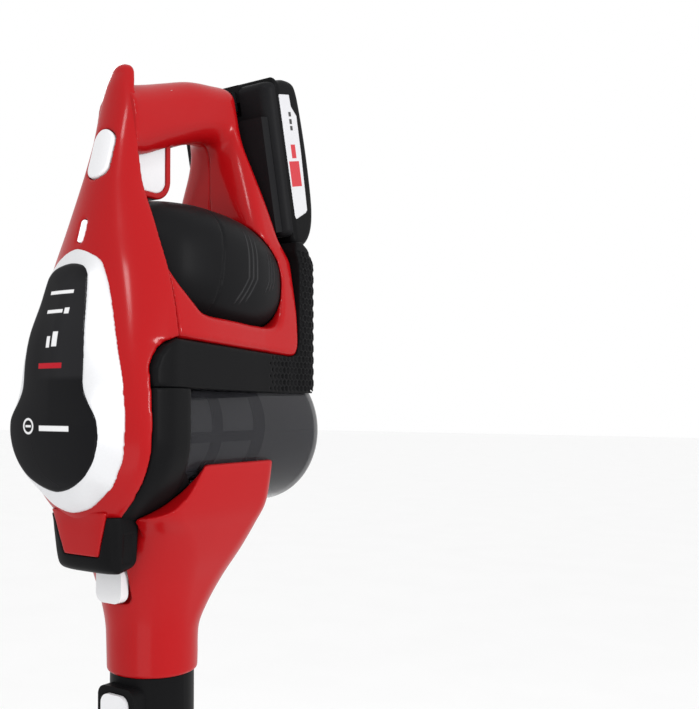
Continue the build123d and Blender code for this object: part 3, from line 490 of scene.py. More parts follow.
@dataclass
class Space:
    """A grid of sample points in tube millimetres.

    Attributes:
        low: The lowest corner.
        high: The highest corner.
        step: The spacing.
    """

    low: tuple[float, float, float]
    high: tuple[float, float, float]
    step: float

    def __post_init__(self) -> None:
        """Lays out the three axes of the grid."""
        spans = [np.arange(a, b + self.step, self.step) for a, b in zip(self.low, self.high)]
        self.x, self.y, self.z = (
            s.reshape([-1 if i == k else 1 for k in range(3)]) for i, s in enumerate(spans))

    def mesh(
        self, name: str, values: Field, material: bpy.types.Material, node: str, soften: int = 4
    ) -> bpy.types.Object:
        """Turns a field's zero surface into a smooth mesh that stands for a CAD part.

        Args:
            name: The piece's name.
            values: The field, negative inside.
            material: The finish.
            node: The CAD part it replaces and moves with.
            soften: How many times the facets are relaxed.

        Returns:
            The new object, in the row frame.
        """
        full = np.broadcast_to(values, (self.x.size, self.y.size, self.z.size)).astype(np.float32)
        grid = openvdb.FloatGrid(FIELD_REACH)
        grid.copyFromArray(np.clip(np.ascontiguousarray(full), -FIELD_REACH, FIELD_REACH))
        points, quads = grid.convertToQuads(isovalue=0.0)
        spots = (points * self.step + np.array(self.low)) * MM + np.array(ROW)
        data = bpy.data.meshes.new(name)
        data.from_pydata(spots.tolist(), [], quads[:, ::-1].tolist())
        data.update()
        data.shade_smooth()
        data.materials.append(material)
        piece = bpy.data.objects.new(name, data)
        bpy.context.collection.objects.link(piece)
        relax = piece.modifiers.new("relax", "SMOOTH")
        relax.factor = 0.5
        relax.iterations = soften
        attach(piece, BODY_OF[node])
        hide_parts(node)
        LOG.info("%s: %d faces", name, len(quads))
        return piece


# ---- the hand unit's shapes ----
FRONT = [  # height, front face, half width, how far the flanks sweep back
    (-67, -57, 22, 5), (-60, -63, 26.5, 8), (-50, -69, 37, 13), (-38, -74, 46, 17), (-24, -77.5, 51.8, 20),
    (-8, -79.5, 53.8, 22), (12, -79.5, 53.5, 22), (35, -77.5, 51, 22), (60, -72.5, 46, 20), (85, -67, 39, 17),
    (110, -60, 29.5, 12), (135, -53, 23, 9), (160, -46, 19.5, 8), (185, -40, 17.5, 7), (200, -36.5, 14, 6),
    (208, -33.5, 10.5, 4),
]
# outlines as (height, half width), the edge as (height, depth)
PLATE = [(-43.5, 0), (-42, 9), (-39, 16.5), (-34.7, 23.5), (-28, 30), (-20, 34.4), (-12, 36.2), (-4, 35.8),
         (1, 33.5), (7, 29.2), (13.6, 25.7), (20, 24.7), (30, 24.5), (46, 22.8), (64, 19.2), (75, 17.3),
         (80.5, 15.6), (85, 10.5), (87, 0)]
PLATE_EDGE = [(-60, -77), (-43, -79.3), (-34, -81), (-12, -82.5), (0, -83), (13, -82.8), (30, -82),
              (46, -80), (64, -75.3), (80, -71.7), (87, -69.5), (100, -65)]
BEVEL = [(-56, 0), (-54.5, 9), (-51, 17.5), (-40, 31), (-31, 36.5), (-22, 40.2), (-3, 41.9), (10, 41),
         (22, 39.4), (46, 33.4), (60, 29.5), (74, 25), (86.5, 19), (92, 11.5), (95.5, 0)]
# depth, middle height, half height, half width
DOME = [(-36, 97, 26, 29), (-20, 94, 36, 42), (0, 92.5, 40, 48), (20, 91.5, 41, 50), (45, 90, 40, 49.5),
        (64, 87.5, 37, 46.5), (78, 85.5, 31, 42), (87, 84, 22, 35)]
BOWL_Z = -12.0
DOME_POWER = 2.7
CASE_GAP = 0.35
LIGHT_Z, LIGHT_HALF = 106.6, 5.0
KEY_LEAN = math.atan2(8.0, 25.0)
KEY_Z, KEY_SETBACK, KEY_HALF, KEY_RADIUS = 155.0, 47.6, 7.6, 8.4
CHARGE_X, CHARGE_Z = 20.0, 44.0
BATTERY_LEAN = math.radians(13.0)
BATTERY_Y, BATTERY_Z = 86.0, 117.5
DOCK_Y, DOCK_Z = 121.0, 62.0
TRIGGER_TOP = 176.0


def column(rows: Sequence[Sequence[float]], index: int) -> list[tuple[float, float]]:
    """One column of a table, paired with the table's first column."""
    return [(row[0], row[index]) for row in rows]


def front_face(space: Space) -> Field:
    """Where the front face lies over width and height."""
    reach = np.clip(np.abs(space.x) / np.maximum(along(space.z, column(FRONT, 2)), 1.0), 0, 1.15)
    return along(space.z, column(FRONT, 1)) + along(space.z, column(FRONT, 3)) * reach**2


def outline(rows: Sequence[Sequence[float]], space: Space) -> Field:
    """Signed distance on the front plane to a mirrored outline.

    Args:
        rows: (height, half width) rows.
        space: The grid.

    Returns:
        The distance, negative inside.
    """
    right = [(w, z) for z, w in rows]
    left = [(-w, z) for z, w in reversed(rows) if w > 0]
    return inside(curve([*right, *left], 10), space.x[:, 0, :], space.z[0])[:, None, :]


def box(space: Space, low: Sequence[float], high: Sequence[float], radius: float = 0.0) -> Field:
    """A box with rounded edges.

    Args:
        space: The grid.
        low: Its lowest corner.
        high: Its highest corner.
        radius: The edges' radius.

    Returns:
        The field, negative inside.
    """
    parts = [np.abs(axis - (a + b) / 2) - (b - a) / 2 + radius
             for axis, a, b in zip((space.x, space.y, space.z), low, high)]
    outer = np.sqrt(sum(np.maximum(p, 0) ** 2 for p in parts))
    return outer + np.minimum(np.maximum(np.maximum(parts[0], parts[1]), parts[2]), 0) - radius


def dome(space: Space) -> Field:
    """The motor cover's rounded volume.

    Args:
        space: The grid.

    Returns:
        The field, negative inside.
    """
    middle, half, width = (along(space.y, column(DOME, i)) for i in (1, 2, 3))
    u, v = np.abs(space.x) / width, np.abs(space.z - middle) / half
    ring = ((u**DOME_POWER + v**DOME_POWER) ** (1 / DOME_POWER) - 1) * np.minimum(half, width)
    return most(ring, np.abs(space.y - 25.5) - 61.5, 6.0)


def along_y(space: Space, radius: float, x: float, z: float) -> Field:
    """An endless round bar along Y."""
    return np.hypot(space.x - x, space.z - z) - radius


def slot_key(space: Space, grow: float) -> Field:
    """The turbo key's leaning capsule, which is also its well in the front frame.

    Args:
        space: The grid.
        grow: How much wider than the key.

    Returns:
        The field, negative inside.
    """
    sine, cosine = math.sin(KEY_LEAN), math.cos(KEY_LEAN)
    up = space.y * sine + (space.z - KEY_Z) * cosine + KEY_SETBACK * sine
    capsule = np.hypot(space.x, np.maximum(np.abs(up) - KEY_HALF, 0)) - KEY_RADIUS - grow
    return np.maximum(capsule, space.y + 36.5)


@dataclass
class RedCasing:
    """The red front frame and the two handle shells.

    Attributes:
        step: The mesh's grain in millimetres.
        overlap: How far the two handle shells reach past the middle plane.
    """

    step: float = 1.1
    overlap: float = 0.3

    # outlines as (depth, height); half widths by height down and by depth across
    SIDE = [(-44, 196), (-30, 201), (-12, 206), (4, 211), (24, 217), (45, 220), (58, 221), (65, 216.5),
            (67.5, 205), (70.5, 185), (76, 161), (81, 140), (85.5, 121), (91, 113), (97, 106), (98.6, 96),
            (98.6, 70), (98.2, 48), (95, 40.5), (88, 38.3), (50, 40), (0, 42.2), (-40, 44), (-56, 45),
            (-56, 90), (-50, 130), (-46, 165)]
    WINDOW = [(-36, 104), (-30, 82), (-17, 65), (-7, 59.3), (20, 57.8), (50, 56.5), (68, 57.5), (75.5, 64),
              (77.5, 78), (75, 94), (66, 106), (58, 116), (54.5, 140), (54, 168), (51, 179), (44, 181),
              (28, 177), (5, 168), (-15, 160), (-30, 155), (-34, 148), (-34.5, 130), (-35, 116)]
    WIDTH_Y = (-60, -19, 17, 50, 60, 85, 100)
    WIDTH_Z = (30, 42, 60, 75, 90, 115, 140, 165, 185, 215)
    WIDTH = ((53, 54.5, 51.4, 47.6, 46.6, 45.5, 44.8), (52, 54, 51, 47.3, 46.4, 45.2, 44.5),
             (48, 51.5, 50, 46.5, 45.6, 44.5, 43.5), (44, 48, 48.5, 45.5, 44.4, 43.6, 42),
             (39, 43, 46, 43.5, 42.6, 42, 40), (29, 33, 42, 40, 40, 39, 37), (22, 22, 22, 28, 34, 34, 33),
             (19, 18, 18, 19.5, 27, 28, 27), (14, 17, 18, 18.5, 22, 22.5, 22),
             (2, 11, 17, 18.5, 19, 19, 19))

    # the front frame's rear edge as (height, depth)
    REAR = [(-67, -50), (-48, -54), (-36, -55), (-20, -55.3), (16, -55.3), (27, -54.6), (34, -51),
            (39.5, -46), (43.2, -38), (45.6, -33.8), (60, -33.8), (140, -33.0), (165, -32.0), (185, -31),
            (196, -29.5), (205, -27.5), (213, -26), (218, -26)]

    def flank(self, space: Space) -> Field:
        """How much wider the front frame grows towards the handle, by depth and height.

        Args:
            space: The grid.

        Returns:
            The extra half width.
        """
        seam = along(space.z, list(zip(self.WIDTH_Z, (row[1] for row in self.WIDTH))))
        wanted = np.where(space.z > 42, np.maximum(seam - along(space.z, column(FRONT, 2)), 0), 0)
        share = np.clip((space.y + 62.0) / 40.0, 0, 1)
        return wanted * share * share * (3 - 2 * share)

    def widths(self, space: Space) -> Field:
        """The handle's half width over depth and height.

        Args:
            space: The grid.

        Returns:
            The half width.
        """
        rows = np.array([along(space.y.ravel(), list(zip(self.WIDTH_Y, row))) for row in self.WIDTH])
        made = np.array([along(space.z.ravel(), list(zip(self.WIDTH_Z, line))) for line in rows.T])
        return made[None, :, :]

    def handle(self, space: Space) -> Field:
        """Bar, pillar and skirt with the finger window.

        Args:
            space: The grid.

        Returns:
            The field, negative inside.
        """
        y, z = space.y[0], space.z[0]
        side = inside(curve(self.SIDE, 6), y, z)
        window = inside(curve(self.WINDOW, 8), y, z)
        radius = 4.0 + 10.5 * np.clip((z - 70.0) / 95.0, 0, 1)
        flat = most(side, -window)[None]
        body = rounded(flat, np.abs(space.x) - self.widths(space), radius[None])
        body = most(body, -(dome(space) - CASE_GAP))
        body = most(body, -box(space, (-7.6, -40.0, 118), (7.6, 8.8, 184)))
        return body

    def frame_rear(self, space: Space) -> Field:
        """The front frame's rear edge by height."""
        return along(space.z, self.REAR)

    def build(self, palette: Palette) -> list[bpy.types.Object]:
        """Meshes the three shells.

        Args:
            palette: The materials.

        Returns:
            The front frame and the two handle shells.
        """
        red = palette[Slot.RED_SHELL]
        space = Space((-58, -84, -70), (58, -15, 219), self.step)
        face = front_face(space)
        rows = [(z, w) for z, _, w, _ in FRONT]
        rim = outline([(-67.5, 0), *rows, (212.5, 6.0), (214.0, 0.0)], space) - self.flank(space)
        edge = 6.0 + 5.0 * np.clip((space.z + 20) / 60, 0, 1) * np.clip((225 - space.z) / 60, 0, 1)
        shell = rounded(rim, face - space.y, edge)
        tip = np.clip((space.z - 190) / 8, 0, 1)
        shell = rounded(shell, space.y - self.frame_rear(space), 1.2 + tip * 1.8)
        hollow = rounded(rim + 2.6, face + 2.6 - space.y, np.maximum(edge - 2.6, 1.0))
        hollow = np.maximum(np.maximum(hollow, space.z - 196), -(space.z + 57))
        lid = space.y - self.frame_rear(space) + 2.4 + np.where(space.z > 104.0, 0.0, -60.0)
        hollow = np.maximum(hollow, lid)
        shell = most(shell, -hollow)
        shell = most(shell, -(dome(space) - CASE_GAP))
        shell = most(shell, -slot_key(space, CASE_GAP))
        light = np.hypot(space.x, np.maximum(np.abs(space.z - LIGHT_Z) - LIGHT_HALF, 0)) - 2.3
        light = np.maximum(light, space.y + 56)
        shell = most(shell, -light)
        made = [space.mesh("front_frame_shell", shell, red, "front_frame", 9)]
        sides = (("handle_shell_right", "handle_right", 1), ("handle_shell_left", "handle_left", -1))
        for name, node, sign in sides:
            space = Space((-2.0 if sign > 0 else -56, -37, 36), (56 if sign > 0 else 2.0, 102, 224), self.step)
            body = self.handle(space)
            body = most(body, -(self.overlap + sign * space.x))
            body = most(body, -34.2 - space.y)
            core = np.maximum(np.abs(space.x) - 11, np.abs(space.z - 193.5) - 7.5)
            core = np.maximum(core, np.abs(space.y - 30) - 30)
            cavity = np.maximum(np.abs(space.y - 68.2) - 8.2, np.abs(space.z - 152) - 27)
            cavity = np.maximum(np.abs(space.x) - 14.5, cavity)
            body = most(body, -np.minimum(core, cavity))
            made.append(space.mesh(name, body, red, node, 8))
        return made


@dataclass
class FaceSet:
    """The bright bevel and the black face plate.

    Attributes:
        step: The mesh's grain in millimetres.
    """

    step: float = 0.7

    def build(self, palette: Palette) -> list[bpy.types.Object]:
        """Meshes bevel and plate on the front frame's face.

        Args:
            palette: The materials.

        Returns:
            The two pieces.
        """
        space = Space((-48, -91, -58), (48, -52, 98), self.step)
        face = front_face(space)
        bevel, plate = outline(BEVEL, space), outline(PLATE, space)
        outer, inner = np.maximum(-bevel, 0), np.maximum(plate, 0)
        share = outer / (outer + inner + 1e-6)
        edge = along(space.z, PLATE_EDGE)
        slope = (face - 1.3) * (1 - share) + (edge + 0.7) * share
        ring = np.maximum(bevel, slope - space.y)
        ring = np.maximum(np.maximum(ring, space.y - face - 0.5), -1.6 - plate)
        crown = 2.6 * (1 - np.exp(np.minimum(plate, 0) / 14.0))
        disc = rounded(plate, edge - crown - space.y, 1.4)
        disc = np.maximum(disc, space.y - np.minimum(edge + 5.0, face))
        return [space.mesh("bevel_ring", ring, palette[Slot.BRIGHT_TRIM], "trim_bevel", 6),
                space.mesh("face_disc", disc, palette.keep("face_print", self.print_and_reflection_finish), "face_plate", 8)]

    def print_and_reflection_finish(self) -> bpy.types.Material:
        """Polished black with a painted reflection, a soft grey field over its neck that is strongest towards
        +X, and white and red print on top.

        Returns:
            The material.
        """
        made = Slot.BLACK_GLOSS.value.shader()
        height, width = made.tube(2), made.tube(0)
        # painted reflection: grey lifted over the plate's neck, fading out towards -X
        neck = height.step(19.0, 22.0) * (1.0 - height.step(74.0, 84.0)) * (width * 0.05 + 0.6).clamped()
        black = made.blend(neck * 0.5, (0.005, 0.005, 0.006), (0.022, 0.022, 0.024))

        def bar(x: float, z: float, half: float, thick: float) -> Term:
            """A level bar around (x, z), one inside it."""
            across = 1.0 - abs(width - x).step(half - 0.2, half + 0.2)
            return across * (1.0 - abs(height - z).step(thick, thick + 0.4))

        white = bar(0.0, 69.5, 9.5, 0.8).most(bar(-2.5, 58.5, 6.5, 0.8)).most(bar(7.2, 58.5, 1.8, 1.5))
        radius = ((width + 17.0) * (width + 17.0) + (height + 6.5) * (height + 6.5)).root()
        ring = (1.0 - abs(radius - 4.0).step(0.4, 0.8)).most(bar(-17.0, -6.5, 2.4, 0.4))
        white = white.most(ring).most(bar(4.5, -7.5, 12.0, 1.3))
        white = white.most(bar(-3.0, 41.0, 1.4, 3.0)).most(bar(2.2, 42.5, 2.0, 4.0))
        printed = made.blend(white, black, (0.75, 0.75, 0.76))
        made.drive("Base Color", made.blend(bar(0.0, 27.5, 9.5, 1.3), printed, (0.42, 0.01, 0.02)))
        return made.material


@dataclass
class MotorCover:
    """The black barrel in the loop, with pressed lines on its flanks.

    Attributes:
        step: The mesh's grain in millimetres.
    """

    step: float = 1.0

    # each pressed line's depth, foot and head
    LINES = [(34.0, 68.0, 116.0), (38.5, 68.0, 114.0), (43.0, 70.0, 112.0), (58.0, 78.0, 106.0),
             (62.0, 79.0, 104.0), (66.0, 80.0, 102.0)]

    def build(self, palette: Palette) -> bpy.types.Object:
        """Meshes the cover as a shell.

        Args:
            palette: The materials.

        Returns:
            The cover.
        """
        space = Space((-53, -39, 45), (53, 90, 145), self.step)
        skin = dome(space)
        belt = np.abs(space.y - 9.0 - 0.10 * (space.z - 90)) - 0.6
        groove = np.maximum(belt, -(skin + 0.7))
        body = most(skin, -groove, 0.5)
        body = np.maximum(body, -(skin + 2.8))
        return space.mesh("motor_cover", body, palette.keep("ribbed_black", self.ribbed), "motor_housing")

    def ribbed(self) -> bpy.types.Material:
        """Black plastic with bent pressed lines, bumped in and painted lighter as painted highlights along
        their ridges.

        Returns:
            The material.
        """
        made = Slot.BLACK_PLASTIC.value.shader()
        depth, height = made.tube(1), made.tube(2)
        bend = (86.0 - height).most(0.0) * 0.62
        lines = None
        for first, low, high in self.LINES:
            line = (1.0 - abs(depth + bend - first) * 0.9).clamped() * height.step(low, low + 3) * (
                1.0 - height.step(high - 3, high))
            lines = line if lines is None else lines.most(line)
        fine = made.noise(1400.0, 2.0)
        made.bump(lines * 30.0 + fine, 0.00002)
        broad = made.noise(14.0, 3.0)
        # painted highlight: the pressed lines are painted grey where their ridges would catch the light; the
        # broad noise mixed in is random tone
        made.drive("Base Color", made.blend((lines * 0.8 + broad * 0.2).clamped(), (0.005, 0.005, 0.0055),
                                            (0.035, 0.035, 0.037)))
        return made.material


@dataclass
class ExhaustBody:
    """The black lower body with its honeycomb cells, and the seat band in front of the container.

    Attributes:
        step: The mesh's grain in millimetres.
        pitch: From one cell's middle to the next.
        wall: Between two cells.
        depth: How deep the cells go.
    """

    step: float = 0.75
    pitch: float = 4.7
    wall: float = 1.15
    depth: float = 1.1

    # (depth, half width), and the side as (depth, height)
    PLAN = [(-56, 52.5), (-50, 54.5), (-42, 55.6), (-30, 54.6), (0, 51.8), (50, 47.4), (88, 45.6),
            (106, 45), (115, 44), (119, 42), (121, 39)]
    SIDE = [(-54.9, 20), (-54.6, 26), (-51.5, 33.5), (-46.5, 39), (-38, 43.3), (0, 41.9), (50, 39.7),
            (88, 38), (95.2, 40.2), (98.4, 48), (98.8, 70), (98.8, 96), (97.2, 106), (93.8, 111.5),
            (94.5, 117.2), (100, 118.4), (108, 114.4), (118, 104.5), (120.8, 97), (120.8, 50), (119.8, 18),
            (118, 12.5), (112, 11.2), (60, 13.2), (-18, 14.8), (-54, 15.5)]

    # the seat band as (depth, radius)
    BAND = [(-56, 52.5), (-50, 54.5), (-42, 55.6), (-30, 54.6), (-24.5, 53.6), (-9, 52.4)]

    def cells(self, u: Field, v: Field) -> Field:
        """Distance to the walls of a hexagonal lattice, negative inside a cell.

        Args:
            u: Places across the lattice.
            v: Places up the lattice.

        Returns:
            The distance.
        """
        high = self.pitch * math.sqrt(3)
        best = None
        for du, dv in ((0.0, 0.0), (self.pitch / 2, high / 2)):
            a = np.abs(np.mod(u + du, self.pitch) - self.pitch / 2)
            b = np.abs(np.mod(v + dv, high) - high / 2)
            hexagon = np.maximum(a, a * 0.5 + b * math.sqrt(3) / 2)
            best = hexagon if best is None else np.minimum(best, hexagon)
        return best - (self.pitch - self.wall) / 2

    def build(self, palette: Palette) -> bpy.types.Object:
        """Meshes the housing.

        Args:
            palette: The materials.

        Returns:
            The housing.
        """
        space = Space((-57, -57, 6), (57, 123, 121), self.step)
        side = inside(np.array(self.SIDE, float), space.y[0], space.z[0])[None]
        plan = along(space.y, self.PLAN)
        skin = rounded(side, np.abs(space.x) - plan, 2.2)
        flank = self.cells(space.y, space.z)
        area = np.maximum(60.0 - space.y, np.maximum(space.z - 111, 15 - space.z))
        open_share = np.clip((space.y - 58) / 26, 0, 1)
        flank = flank + (1 - open_share) * 1.1
        flank = np.maximum(np.maximum(flank, area), -(np.abs(space.x) - plan + self.depth))
        rear = self.cells(space.x, space.z)
        patch = np.maximum(np.abs(space.x) - 33, np.maximum(space.z - 72, 16 - space.z))
        rear = np.maximum(np.maximum(rear, patch), 120.9 - self.depth - space.y)
        slot = box(space, (-15, 100, DOCK_Z - 9), (15, 140, DOCK_Z + 9))
        plug = along_y(space, 6.0, CHARGE_X, CHARGE_Z)
        rear = np.maximum(rear, -np.minimum(slot, plug))
        body = np.maximum(np.maximum(skin, -flank), -rear)
        hollow = np.maximum(np.maximum(side + 3.4, np.abs(space.x) - plan + 3.4), -33 - space.y)
        hollow = np.maximum(hollow, -along_y(space, 53.6, 0, BOWL_Z))
        dock = box(space, (-12, DOCK_Y - 7, DOCK_Z - 6), (12, DOCK_Y + 5, DOCK_Z + 6))
        block = box(space, (-14, DOCK_Y - 9, DOCK_Z - 8), (14, DOCK_Y - 0.5, DOCK_Z + 8))
        sleeve = np.maximum(along_y(space, 5.2, CHARGE_X, CHARGE_Z), 109 - space.y)
        hollow = np.maximum(hollow, -np.minimum(block, sleeve))
        body = np.maximum(body, -hollow)
        body = np.maximum(body, -along_y(space, 50.9, 0, BOWL_Z))
        body = np.maximum(body, -dock)
        body = np.maximum(body, -np.maximum(along_y(space, 2.75, CHARGE_X, CHARGE_Z), 100 - space.y))
        body = np.maximum(body, -box(space, (-25.3, 117.5, 75.7), (25.3, 130, 110.3)))
        piece = space.mesh("exhaust_body", body, palette[Slot.BLACK_PLASTIC], "exhaust_housing", 1)
        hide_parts("exhaust_grille")
        return piece

    def seat(self, palette: Palette) -> bpy.types.Object:
        """Meshes the band between the red ring and the container.

        Args:
            palette: The materials.

        Returns:
            The band.
        """
        space = Space((-60, -57, -74), (60, -5, 30), 1.0)
        radius = along(space.y, self.BAND)
        around = np.hypot(space.x, np.minimum(space.z - BOWL_Z, 0))
        band = rounded(around - radius, np.maximum(-54.9 - space.y, space.y + 24.5), 1.5)
        band = np.maximum(band, 47.0 - around)
        web = np.maximum(around - 50, np.abs(space.y + 48.5) - 1.5)
        web = np.maximum(web, 28 - np.hypot(space.x, space.z + 8))
        band = np.minimum(band, web)
        lip = np.maximum(np.maximum(around - 53.0, 50.35 - around), np.maximum(space.y + 9.3, -27 - space.y))
        band = np.minimum(band, np.maximum(lip, space.z + 33 + (space.y + 24) * 0.9))
        band = np.maximum(band, space.z - 15.2)
        return space.mesh("seat_band", band, palette[Slot.BLACK_PLASTIC], "filter_seat")


@dataclass
class LatchHook:
    """The black bracket under the ring and its red insert.

    Attributes:
        step: The mesh's grain in millimetres.
    """

    step: float = 0.7

    def build(self, palette: Palette) -> list[bpy.types.Object]:
        """Meshes the bracket and the insert that carries the ring's red down.

        Args:
            palette: The materials.

        Returns:
            The two pieces.
        """
        space = Space((-32, -70, -101), (32, -35, -50), self.step)
        front = along(space.z, [(-96, -53), (-90, -57), (-84, -59.5), (-70, -61.6), (-60, -63), (-50, -66)])
        front = front + 4.5 * (np.abs(space.x) / 27) ** 4
        half = along(space.z, [(-100, 24.0), (-80, 26.2), (-50, 27.6)])
        bottom = -93.0 + np.clip(space.y + 58, 0, 20) * 0.25
        block = rounded(np.abs(space.x) - half, np.maximum(front - space.y, space.y + 38.6), 4.0)
        block = rounded(block, bottom - space.z, 5.0)
        block = np.maximum(block, space.z + 58.0)
        hollow = np.maximum(np.abs(space.x) - 22, np.maximum(front + 5 - space.y, -88.5 - space.z))
        block = np.maximum(block, -hollow)
        half_red = 14.0 + (space.z + 81.0) * 0.333
        recess = np.maximum(np.abs(space.x) - half_red, -81.0 - space.z)
        body = np.maximum(block, -np.maximum(recess - 0.3, space.y - front - 1.8))
        arm = np.maximum(np.abs(space.y + 47.5) - 4.4, np.maximum(-85 - space.z, space.z + 68))
        body = np.maximum(body, -np.maximum(arm, half - 0.8 - np.abs(space.x)))
        insert = rounded(recess, front - 0.3 - space.y, 0.8)
        insert = np.maximum(insert, np.maximum(space.y - front - 1.7, space.z + 55))
        return [space.mesh("latch_bracket", body, palette[Slot.BLACK_PLASTIC], "latch_hook"),
                space.mesh("latch_red", insert, palette[Slot.RED_SHELL], "latch_insert")]


@dataclass
class Neck:
    """The red neck: a collar below and a saddle under the container above.

    Attributes:
        step: The mesh's grain in millimetres.
    """

    step: float = 1.0

    # height, front, back, half width, corner radius
    ROWS = [(-158, -27.8, 28.0, 28.0, 27.9), (-150, -28, 28.2, 28.2, 28), (-132, -28.6, 28.8, 28.8, 28.5),
            (-118, -30.5, 36, 31, 30), (-102, -34, 47.5, 35.5, 33), (-86, -36.5, 58, 41.5, 33),
            (-70, -40, 62.5, 46.5, 26), (-58, -46, 63, 50, 18), (-44, -50, 62, 51.3, 12),
            (-29, -50, 62, 51.5, 8)]
    # the saddle's front edge as (height, depth), and the band's seat as (depth, radius)
    EDGE = [(-70, -66), (-66, -60), (-62, -50), (-59, -44.4), (-54, -34.4), (-47, -24), (-39, -16.5),
            (-31.5, -10.6), (-26, -8)]
    SEAT = [(-60, 53), (-50, 55.2), (-42, 56.3), (-30, 55.3), (-24.5, 54.3), (-9, 53.4), (-6.9, 53.4)]

    def build(self, palette: Palette) -> bpy.types.Object:
        """Meshes the neck.

        Args:
            palette: The materials.

        Returns:
            The neck.
        """
        space = Space((-54, -54, -160), (54, 67, -27), self.step)
        front, back, half, corner = (along(space.z, column(self.ROWS, i)) for i in (1, 2, 3, 4))
        corner = np.minimum(corner, np.minimum(half, (back - front) / 2) - 0.1)
        depth = np.abs(space.y - (front + back) / 2) - (back - front) / 2
        skin = rounded(np.abs(space.x) - half, depth, corner)
        ends = np.maximum(-157.9 - space.z, space.z + 30)
        skin = rounded(skin, ends, 1.6)
        around = np.hypot(space.x, space.z - BOWL_Z)
        hollow = np.maximum(skin + 3.4, np.maximum(-127 - space.z, 53.2 - around))
        hollow = np.maximum(hollow, -12 - space.y)
        pocket = box(space, (-14, -60, -116), (14, -23.8, -86), 3.0)
        hollow = np.maximum(hollow, -pocket)
        body = np.maximum(skin, -hollow)
        body = np.maximum(body, 50.12 - around)
        edge = along(space.z, self.EDGE)
        body = np.maximum(body, (edge - space.y) * 0.8)
        seat = along(space.y, self.SEAT)
        body = np.maximum(body, np.where(space.y < -6.8, seat - around, -9.0))
        body = np.maximum(body, -np.maximum(np.hypot(space.x, space.y - 12) - 16.5, np.abs(space.z + 62) - 14))
        body = np.maximum(body, -np.maximum(np.hypot(space.x, space.y) - 24.1, space.z + 112))
        body = np.maximum(body, -np.maximum(np.hypot(space.x, space.y) - 19, np.abs(space.z + 112) - 16))
        well = box(space, (-11.4, -60, -113.0), (11.4, -26.4, -88.8), 5.0)
        body = np.maximum(body, -well)
        hook = box(space, (-27.9, -80, -94.0), (27.9, -38.0, -40))
        body = np.maximum(body, -hook)
        return space.mesh("neck_shell", body, palette[Slot.RED_SHELL], "suction_neck")


@dataclass
class SmallKeys:
    """The status light, the turbo key, the trigger and its red shoe.

    Attributes:
        step: The mesh's grain in millimetres.
        fine_step: The status light's grain.
    """

    step: float = 0.6
    fine_step: float = 0.4

    def build(self, palette: Palette) -> list[bpy.types.Object]:
        """Meshes the light, the turbo key and the trigger.

        Args:
            palette: The materials.

        Returns:
            The four pieces.
        """
        space = Space((-4, -66, 96), (4, -50, 117), self.fine_step)
        face = front_face(space)
        capsule = np.hypot(space.x, np.maximum(np.abs(space.z - LIGHT_Z) - LIGHT_HALF, 0)) - 1.9
        light = np.maximum(capsule, np.maximum(face - 0.3 - space.y, space.y - face - 5))
        made = [space.mesh("status_window", light, palette[Slot.LIGHT_PIPE], "status_light", 2)]
        space = Space((-10, -60, 134), (10, -35, 176), self.step)
        key = rounded(slot_key(space, 0.0), front_face(space) - 0.9 - space.y, 1.0)
        made.append(space.mesh("turbo_pill", key, palette[Slot.WHITE_KEY], "turbo_button", 2))
        space = Space((-8, -33, 131), (8, 9, 178), self.step)
        middle, radius, foot = -12.0, 20.0, 134.0
        flat = box(space, (-40, middle - radius, foot), (40, middle + radius, 200), 14.0)
        flat = np.where(space.y < middle, foot - space.z, flat)
        side = np.maximum(flat, space.y - middle - radius)
        side = np.maximum(side, -30.9 - space.y)
        whole = rounded(np.maximum(side, space.z - TRIGGER_TOP), np.abs(space.x) - 7.0, 1.2)
        core = np.maximum(side + 4.0, space.y - middle - radius + 4.4)
        core = np.maximum(np.where(space.y < middle, foot + 4.0 - space.z, core), -30.9 - space.y)
        core = np.maximum(core, space.z - TRIGGER_TOP + 0.7)
        shoe = np.maximum(np.maximum(whole, -core), space.z - 171.0)
        made.append(space.mesh("trigger_rim", shoe, palette[Slot.RED_SHELL], "trigger_shoe", 2))
        white = np.maximum(core + 0.05, np.abs(space.x) - 6.2)
        made.append(space.mesh("trigger_face", white, palette[Slot.WHITE_KEY], "trigger", 2))
        return made


